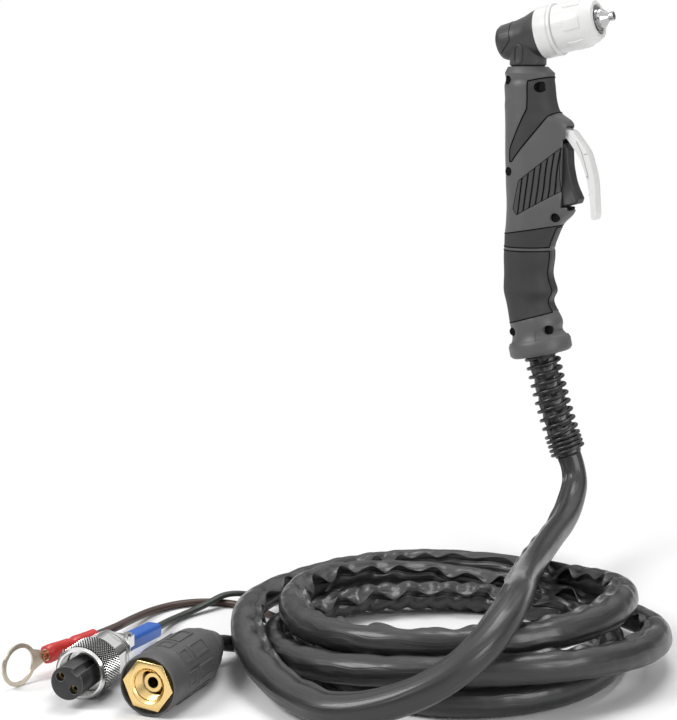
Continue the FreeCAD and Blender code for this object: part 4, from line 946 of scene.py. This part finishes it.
# Parts with rounded edges: node, finish, body, rounding in millimetres, and how much lighter or darker the
# edges are painted: a painted highlight where lighter, painted shade where darker
ROUNDED = (
    ("handle_shell_left", "shell_grey", "torch", 0.35, 0.9),
    ("handle_shell_right", "shell_grey", "torch", 0.35, 0.9),
    ("upper_grip_inlays", "grip_dark", "torch", 0.5, -0.9),
    ("ribbed_grip_inlays", "grip_rib", "torch", 0.25, -0.9),
    ("lower_grip_sleeve", "grip_dark", "torch", 0.35, -0.7),
    ("torch_head", "head_dark", "torch", 0.3, 0.4),
    ("cup_collar", "cup_white", "torch", 0.35, -0.2),
    ("shield_cup", "cup_white", "cup", 0.35, -0.3),
    ("trigger", "trigger_dark", "trigger", 0.35, 1.2),
    ("safety_lever", "lever_white", "lever", 0.5, -0.12),
    ("connector_grip", "connector_black", "connector_nut", 0.3, 0.8),
    ("connector_boot", "connector_black", "torch", 0.4, 0.5),
    ("connector_nut", "brass", "connector_nut", 0.25, 0.2),
    ("plug_insert", "plug_black", "torch", 0.3, 2.5),
)

# Radius of the parting lines round each soft grip, in millimetres: near-black beads that are painted shade in
# the gaps
PARTING_RADII = (("upper_grip_inlays", 0.38), ("ribbed_grip_inlays", 0.14), ("lower_grip_sleeve", 0.34))
PARTING_ANGLE = math.radians(42)
SEAM_RADIUS = 0.22
RIB_RADIUS = 0.3


class TORCH_OT_handle(bpy.types.Operator):
    """Moulded handle, head, cup, trigger and lever with their edges rounded off and painted lighter or darker
    as painted highlight or shade, and their parting lines as dark beads of painted shade.
    """
    bl_idname = "torch.handle"
    bl_label = "Handle and head"

    def execute(self, context):
        # Rounded edges painted lighter or darker: painted highlight or painted shade
        for node, finish, body, width, edge_light in ROUNDED:
            dress(softened(node, width * MM, edge_light), FINISH[finish], body, [node])

        tree = seam_tree()
        for node, radius in PARTING_RADII:
            lines = grown(copied(node, "_lines"), tree, {
                "Radius": radius * MM, "Edge angle": PARTING_ANGLE, "Finish": FINISH["line"]})
            dress(tidied(lines), FINISH["line"])

        context.view_layer.update()
        for side in (-1, 1):
            drawn_line("head_seam", "torch_head", side, HEAD_SEAM, SEAM_RADIUS, FINISH["line"],
                       "torch")
            for count, line in enumerate(LEVER_RIBS):
                drawn_line(f"lever_rib_{count}", "safety_lever", side, line, RIB_RADIUS, FINISH["lever_line"],
                           "lever")
        return {"FINISHED"}


def coated(tree, shape, finish):
    """Last steps of a tree: its instances made real and given their finish."""
    real = added(tree, "GeometryNodeRealizeInstances", {"Geometry": shape}).outputs["Geometry"]
    return added(tree, "GeometryNodeSetMaterial", {"Geometry": real, "Material": finish}).outputs["Geometry"]


def knurl_tree():
    """Diamond knurling: small pyramids in staggered rows round a cylinder."""
    tree, given, result = new_group(
        "diamond knurl", "GeometryNodeTree",
        (("Radius", "Float"), ("Start", "Float"), ("Length", "Float"), ("Height", "Float"), ("Around", "Int"),
         ("Rows", "Int"), ("Finish", "Material")), (("Geometry", "Geometry"),))

    def found(operation, *values):
        return worked(tree, operation, *values)

    def point(*values):
        return added(tree, "ShaderNodeCombineXYZ", dict(enumerate(values))).outputs[0]

    radius, around, rows = given["Radius"], given["Around"], given["Rows"]
    line = added(tree, "GeometryNodeMeshLine", {"Count": found("MULTIPLY", around, rows)}).outputs["Mesh"]
    index = added(tree, "GeometryNodeInputIndex").outputs[0]
    row = found("FLOOR", found("DIVIDE", index, around))
    stagger = found("MULTIPLY", found("MODULO", row, 2.0), 0.5)
    column = found("ADD", found("MODULO", index, around), stagger)
    angle = found("DIVIDE", found("MULTIPLY", column, 2 * math.pi), around)
    cos, sin = found("COSINE", angle), found("SINE", angle)
    pitch = found("DIVIDE", given["Length"], rows)
    height = found("ADD", found("MULTIPLY", found("ADD", row, 0.5), pitch), given["Start"])
    spot = point(found("MULTIPLY", cos, radius), found("MULTIPLY", sin, radius), height)
    spots = added(tree, "GeometryNodeSetPosition", {"Geometry": line, "Position": spot}).outputs["Geometry"]
    turn = added(tree, "FunctionNodeAxesToRotation", {
        "Primary Axis": point(cos, sin, 0.0), "Secondary Axis": point(0.0, 0.0, 1.0)},
        primary_axis="Z", secondary_axis="X").outputs["Rotation"]
    pyramid = added(tree, "GeometryNodeMeshCone", {
        "Vertices": 4, "Radius Top": 0.15, "Radius Bottom": 1.0, "Depth": 1.0}).outputs["Mesh"]
    half = found("DIVIDE", found("MULTIPLY", radius, math.pi), around)
    spread = added(tree, "GeometryNodeInstanceOnPoints", {
        "Points": spots, "Instance": pyramid, "Rotation": turn, "Scale": point(pitch, half, given["Height"])})
    fed(tree, result["Geometry"], coated(tree, spread.outputs["Instances"], given["Finish"]))
    return tree


def seam_tree():
    """Dark beads along every sharp edge of a shape: painted shade of the gaps there."""
    tree, given, result = new_group(
        "parting lines painted shade", "GeometryNodeTree",
        (("Geometry", "Geometry"), ("Radius", "Float"), ("Edge angle", "Float"), ("Finish", "Material")),
        (("Geometry", "Geometry"),))
    angle = added(tree, "GeometryNodeInputMeshEdgeAngle").outputs["Unsigned Angle"]
    sharp = added(tree, "FunctionNodeCompare", {"A": angle, "B": given["Edge angle"]},
                  operation="GREATER_THAN").outputs["Result"]
    line = added(tree, "GeometryNodeMeshToCurve", {"Mesh": given["Geometry"], "Selection": sharp})
    ring = added(tree, "GeometryNodeCurvePrimitiveCircle", {"Resolution": 6, "Radius": given["Radius"]})
    bead = added(tree, "GeometryNodeCurveToMesh", {
        "Curve": line.outputs["Curve"], "Profile Curve": ring.outputs["Curve"], "Fill Caps": True})
    fed(tree, result["Geometry"], coated(tree, bead.outputs["Mesh"], given["Finish"]))
    return tree


def grown(piece, tree, values):
    """Turn a piece into the plain mesh that a tree makes of it with the values of its inputs."""
    build = piece.modifiers.new("build", "NODES")
    build.node_group = tree
    for item in tree.interface.items_tree:
        if item.in_out == "INPUT" and item.name in values:
            build[item.identifier] = values[item.name]
    return baked(piece)


# Knurling and the dark band under it, painted shade between its pyramids: heights from the plug's face and
# radii, in millimetres
KNURL = {"Radius": 12.45, "Start": -29.3, "Length": 14.6, "Height": 0.75, "Around": 62, "Rows": 13}
KNURL_SHADE_BAND = ((-14.6, 12.2), (-14.6, 12.9), (-29.2, 12.9), (-29.2, 12.2))
# How much darker the band is painted: painted shade in the knurl's roots
KNURL_ROOT_PAINTED_SHADE = -0.96


class TORCH_OT_plug(bpy.types.Operator):
    """Knurling of the switch plug's coupling nut, over a dark band of painted shade."""
    bl_idname = "torch.plug"
    bl_label = "Plug knurling"

    def execute(self, context):
        seat = seated(PLUG_FACE, PLUG_HEADING)
        knurl = grown(new_piece("nut_knurl", [], []), knurl_tree(), KNURL | {"Finish": FINISH["plug_chrome"]})
        knurl.data.transform(seat)
        # Dark band under the pyramids: painted shade in the knurl's roots
        shade_band = revolved("knurl shade band", KNURL_SHADE_BAND, seat)
        painted_tones = [0.0] * len(knurl.data.polygons) + [KNURL_ROOT_PAINTED_SHADE] * len(shade_band.data.polygons)
        work = bmesh.new()
        work.from_mesh(knurl.data)
        work.from_mesh(shade_band.data)
        bpy.data.objects.remove(shade_band)
        work.to_mesh(knurl.data)
        work.free()
        mark_painted_light(knurl.data, painted_tones)
        dress(knurl, FINISH["plug_chrome"], "plug_nut")
        return {"FINISHED"}


# Thread inside the connector's nut, in millimetres, and how much darker its inward flanks are painted:
# painted shade on the flanks that face into the nut
THREAD_ROOT = 7.35
THREAD_CREST = 6.35
THREAD_PITCH = 1.4
THREAD_START = -0.9
THREAD_TURNS = 9
THREAD_STEPS = 40
THREAD_FLANK_SHADE = -0.85


def thread_ridge(name, seat):
    """Ridge of an inner thread: a tapered bar wound on a helix."""
    half = THREAD_PITCH / 2
    profile = ((THREAD_ROOT, -half), (THREAD_CREST, 0.0), (THREAD_ROOT, half), (THREAD_ROOT + 0.2, 0.0))
    rings = []
    for step in range(THREAD_TURNS * THREAD_STEPS + 1):
        angle = 2 * math.pi * step / THREAD_STEPS
        height = THREAD_START - THREAD_PITCH * step / THREAD_STEPS
        rings.append([seat @ Vector((radius * math.cos(angle), radius * math.sin(angle), height + rise))
                      for radius, rise in profile])
    ridge = tidied(lofted(name, rings, [0.0] * len(rings)), sharp=30.0)
    to_seat = seat.to_3x3().inverted()
    # Flanks facing into the nut painted darker: painted shade
    mark_painted_light(ridge.data, [THREAD_FLANK_SHADE if (to_seat @ face.normal).z < 0 else 0.0 for face in ridge.data.polygons])
    return ridge


class TORCH_OT_connector(bpy.types.Operator):
    """Thread inside the connector's nut."""
    bl_idname = "torch.connector"
    bl_label = "Connector thread"

    def execute(self, context):
        ridge = thread_ridge("nut_thread", seated(*connector_place()))
        dress(ridge, FINISH["brass"], "connector_nut")
        return {"FINISHED"}


# Crimped sleeve: height, half width and half thickness of its rings, in millimetres
CRIMP_RINGS = (
    (-17.4, 2.7, 2.5), (-17.0, 4.3, 3.7), (-19.0, 4.5, 3.8), (-22.5, 4.6, 3.5), (-26.0, 4.2, 2.9),
    (-29.0, 4.0, 2.8), (-31.5, 4.2, 3.1), (-33.0, 3.7, 3.3), (-34.5, 3.6, 3.5), (-36.5, 4.1, 3.9),
    (-40.0, 3.9, 3.8), (-46.0, 3.8, 3.7), (-49.6, 3.8, 3.7), (-50.0, 3.5, 3.4), (-50.0, 2.1, 2.1),
    (-42.0, 2.1, 2.1),
)
CRIMP_AROUND = 48
CRIMP_DENT = 0.22
CRIMP_DENTS_TO = -34

# Bare strands, in millimetres: their radius, how far they reach from the middle, the tip's height, and the
# angle from one to the next in radians
STRANDS = 18
STRAND_RADIUS = 0.33
STRANDS_REACH = 1.75
STRAND_TIP = -14.6
STRAND_TURN = 2.4


def strand_rings(number, seat):
    """Rings of one strand, round where it is held and pressed flat at its tip."""
    angle = STRAND_TURN * number
    reach = STRANDS_REACH * math.sqrt((number + 0.5) / STRANDS)
    side = 1 if math.cos(angle) > 0 else -1
    tip = STRAND_TIP + 1.1 * wander(number * 0.37, 3, 4.0)
    rings = []
    for height, splay in ((-26.0, 0.0), (-19.0, 0.0), (-17.0, 0.5), (tip, 1.0)):
        x = reach * math.cos(angle) * (1 - splay) + side * (0.95 + 0.45 * reach) * splay
        y = reach * math.sin(angle) * (1 + 0.5 * splay)
        ring = around_axis(Vector((x, y, height)), Vector((1, 0, 0)), Vector((0, 1, 0)), STRAND_RADIUS, 8)
        rings.append([seat @ point for point in ring])
    return rings


class TORCH_OT_terminal(bpy.types.Operator):
    """Crimped red sleeve and the bare strands of the ring terminal."""
    bl_idname = "torch.terminal"
    bl_label = "Ring terminal"

    def execute(self, context):
        seat = seated(RING_CENTRE, RING_HEADING)
        rings = []
        for height, wide, thick in CRIMP_RINGS:
            ring = []
            for spot in range(CRIMP_AROUND):
                angle = 2 * math.pi * spot / CRIMP_AROUND
                cos, sin = math.cos(angle), math.sin(angle)
                dent = CRIMP_DENT * wander(height * 0.05, 6, 2.0 + cos) if height > CRIMP_DENTS_TO else 0
                ring.append(seat @ Vector(((thick + dent) * cos, (wide + dent) * sin, height)))
            rings.append(ring)
        sleeve = tidied(lofted("crimp_sleeve", rings, [row[0] * MM for row in CRIMP_RINGS]))
        dress(sleeve, FINISH["sleeve_red"], replaces=["terminal_sleeve"])

        verts, faces = [], []
        for number in range(STRANDS):
            rings = strand_rings(number, seat)
            faces += tube_faces(len(verts), len(rings), len(rings[0]))
            verts += [point for ring in rings for point in ring]
        strands = tidied(new_piece("bare_strands", verts, faces))
        dress(strands, FINISH["strand_copper"], replaces=["terminal_strands"])
        return {"FINISHED"}


# Floor's half width, and where its paper begins and ends to fade to white from the middle, in metres
FLOOR_HALF = 6.0
FLOOR_MIDDLE = (0.02, -0.2, FLOOR_Z)
FLOOR_FADE = (0.16, 0.34)

# Sky: its diffuse light, and what mirrors see: a ceiling that grows brighter with height, and a window
SKY_DIFFUSE = 0.3
CEILING_HEIGHTS = (0.2, 0.6)
CEILING_LIGHTS = (0.22, 1.0)
WINDOW_WAY = (0.92, -0.34, 0.2)
WINDOW_EDGE = (0.9, 0.96)

# Lamps: name, place in metres, power in watts and width in metres
LAMPS = (
    ("key", (-0.9, -1.3, 1.1), 23.0, 0.8),
    ("fill", (1.5, -0.5, 0.5), 9.0, 0.7),
    ("top", (0.0, 0.3, 1.5), 14.0, 0.8),
)
LAMP_AIM = Vector((0.02, -0.1, -0.05))


def visible_ray(tree):
    """Socket that is 1 where the eye sees something straight, mirrored or through glass."""
    path = added(tree, "ShaderNodeLightPath").outputs
    mirrored = worked(tree, "MAXIMUM", path["Is Camera Ray"], path["Is Glossy Ray"])
    return worked(tree, "MAXIMUM", mirrored, path["Is Transmission Ray"])


def blended(tree, part, low, high):
    """Value between two others."""
    return added(tree, "ShaderNodeMix", {"Factor": part, "A": low, "B": high},
                 data_type="FLOAT").outputs["Result"]


def paper_finish():
    """Pale paper that fades to white away from the object."""
    paper = bpy.data.materials.new("pale paper")
    paper.use_nodes = True
    tree = paper.node_tree
    shader = tree.nodes["Principled BSDF"]
    shader.inputs["Base Color"].default_value = (0.9, 0.9, 0.9, 1)
    shader.inputs["Roughness"].default_value = 0.8
    place = added(tree, "ShaderNodeTexCoord").outputs["Object"]
    away = added(tree, "ShaderNodeVectorMath", {0: place, 1: FLOOR_MIDDLE}, operation="DISTANCE")
    far = smooth_range(tree, away.outputs["Value"], *FLOOR_FADE)
    faded = worked(tree, "MULTIPLY", far, visible_ray(tree))
    white = added(tree, "ShaderNodeEmission", {"Color": (1, 1, 1, 1)})
    blend = added(tree, "ShaderNodeMixShader", {"Fac": faded, 1: shader.outputs["BSDF"],
                                                2: white.outputs["Emission"]})
    fed(tree, tree.nodes["Material Output"].inputs["Surface"], blend.outputs["Shader"])
    return paper


def studio_world():
    """Even soft light, with a bright ceiling and a window that only mirrors show."""
    world = bpy.data.worlds.new("studio")
    world.use_nodes = True
    tree = world.node_tree
    way = added(tree, "ShaderNodeTexCoord").outputs["Generated"]
    parts = added(tree, "ShaderNodeSeparateXYZ", {0: way})
    ceiling = smooth_range(tree, parts.outputs["Z"], *CEILING_HEIGHTS, *CEILING_LIGHTS)
    facing = added(tree, "ShaderNodeVectorMath", {0: way, 1: WINDOW_WAY}, operation="DOT_PRODUCT")
    window = smooth_range(tree, facing.outputs["Value"], *WINDOW_EDGE)
    plain = blended(tree, visible_ray(tree), SKY_DIFFUSE, 1.0)
    glossy = added(tree, "ShaderNodeLightPath").outputs["Is Glossy Ray"]
    sky = tree.nodes["Background"]
    sky.inputs["Color"].default_value = (1, 1, 1, 1)
    fed(tree, sky.inputs["Strength"], blended(tree, glossy, plain, worked(tree, "MAXIMUM", ceiling, window)))
    return world


class TORCH_OT_stage(bpy.types.Operator):
    """Pale floor, soft studio light and the camera."""
    bl_idname = "torch.stage"
    bl_label = "Stage"

    def execute(self, context):
        scene = context.scene
        data = bpy.data.cameras.new("camera")
        data.lens = CAMERA_LENS
        data.sensor_width = CAMERA_SENSOR
        data.clip_end = 30.0
        camera = linked("camera", data)
        right, level = eye_ways()
        ahead = level * math.cos(CAMERA_PITCH) - Vector((0, 0, 1)) * math.sin(CAMERA_PITCH)
        turn = Matrix((right, right.cross(ahead), -ahead)).transposed().to_4x4()
        camera.matrix_world = Matrix.Translation(CAMERA_PLACE) @ turn
        scene.camera = camera

        corners = [(x * FLOOR_HALF, y * FLOOR_HALF, FLOOR_Z) for x, y in ((-1, -1), (1, -1), (1, 1), (-1, 1))]
        floor = new_piece("floor", corners, [(0, 1, 2, 3)])
        floor.data.materials.append(paper_finish())
        scene.world = studio_world()

        for name, place, power, width in LAMPS:
            light = bpy.data.lights.new(name, "AREA")
            light.energy = power
            light.size = width
            turn = (LAMP_AIM - Vector(place)).to_track_quat("-Z", "Y").to_matrix().to_4x4()
            linked(name, light).matrix_world = Matrix.Translation(place) @ turn
        scene.view_settings.view_transform = "Standard"
        return {"FINISHED"}


class TORCH_PT_panel(bpy.types.Panel):
    """Lists the pieces of the torch."""
    bl_idname = "TORCH_PT_panel"
    bl_label = "Plasma torch"
    bl_space_type = "VIEW_3D"
    bl_region_type = "UI"
    bl_category = "Torch"

    def draw(self, context):
        for group in (context.scene.torch_look, context.scene.torch_lead):
            for name in group.__annotations__:
                self.layout.prop(group, name)
        for operator in OPERATORS:
            self.layout.operator(operator.bl_idname)


OPERATORS = (TORCH_OT_stage, TORCH_OT_finishes, TORCH_OT_jacket, TORCH_OT_handle, TORCH_OT_plug,
             TORCH_OT_connector, TORCH_OT_terminal, TORCH_OT_tails)
CLASSES = (TORCH_PG_look, TORCH_PG_lead, *OPERATORS, TORCH_PT_panel)


def register():
    """Register the classes and hang their settings on the scene."""
    for kind in CLASSES:
        bpy.utils.register_class(kind)
    bpy.types.Scene.torch_look = bpy.props.PointerProperty(type=TORCH_PG_look)
    bpy.types.Scene.torch_lead = bpy.props.PointerProperty(type=TORCH_PG_lead)


def unregister():
    """Take the classes and settings away again."""
    del bpy.types.Scene.torch_lead
    del bpy.types.Scene.torch_look
    for kind in reversed(CLASSES):
        bpy.utils.unregister_class(kind)


def main():
    """Build everything in order."""
    register()
    for operator in OPERATORS:
        group, call = operator.bl_idname.split(".")
        getattr(getattr(bpy.ops, group), call)()


if __name__ == "__main__":
    main()
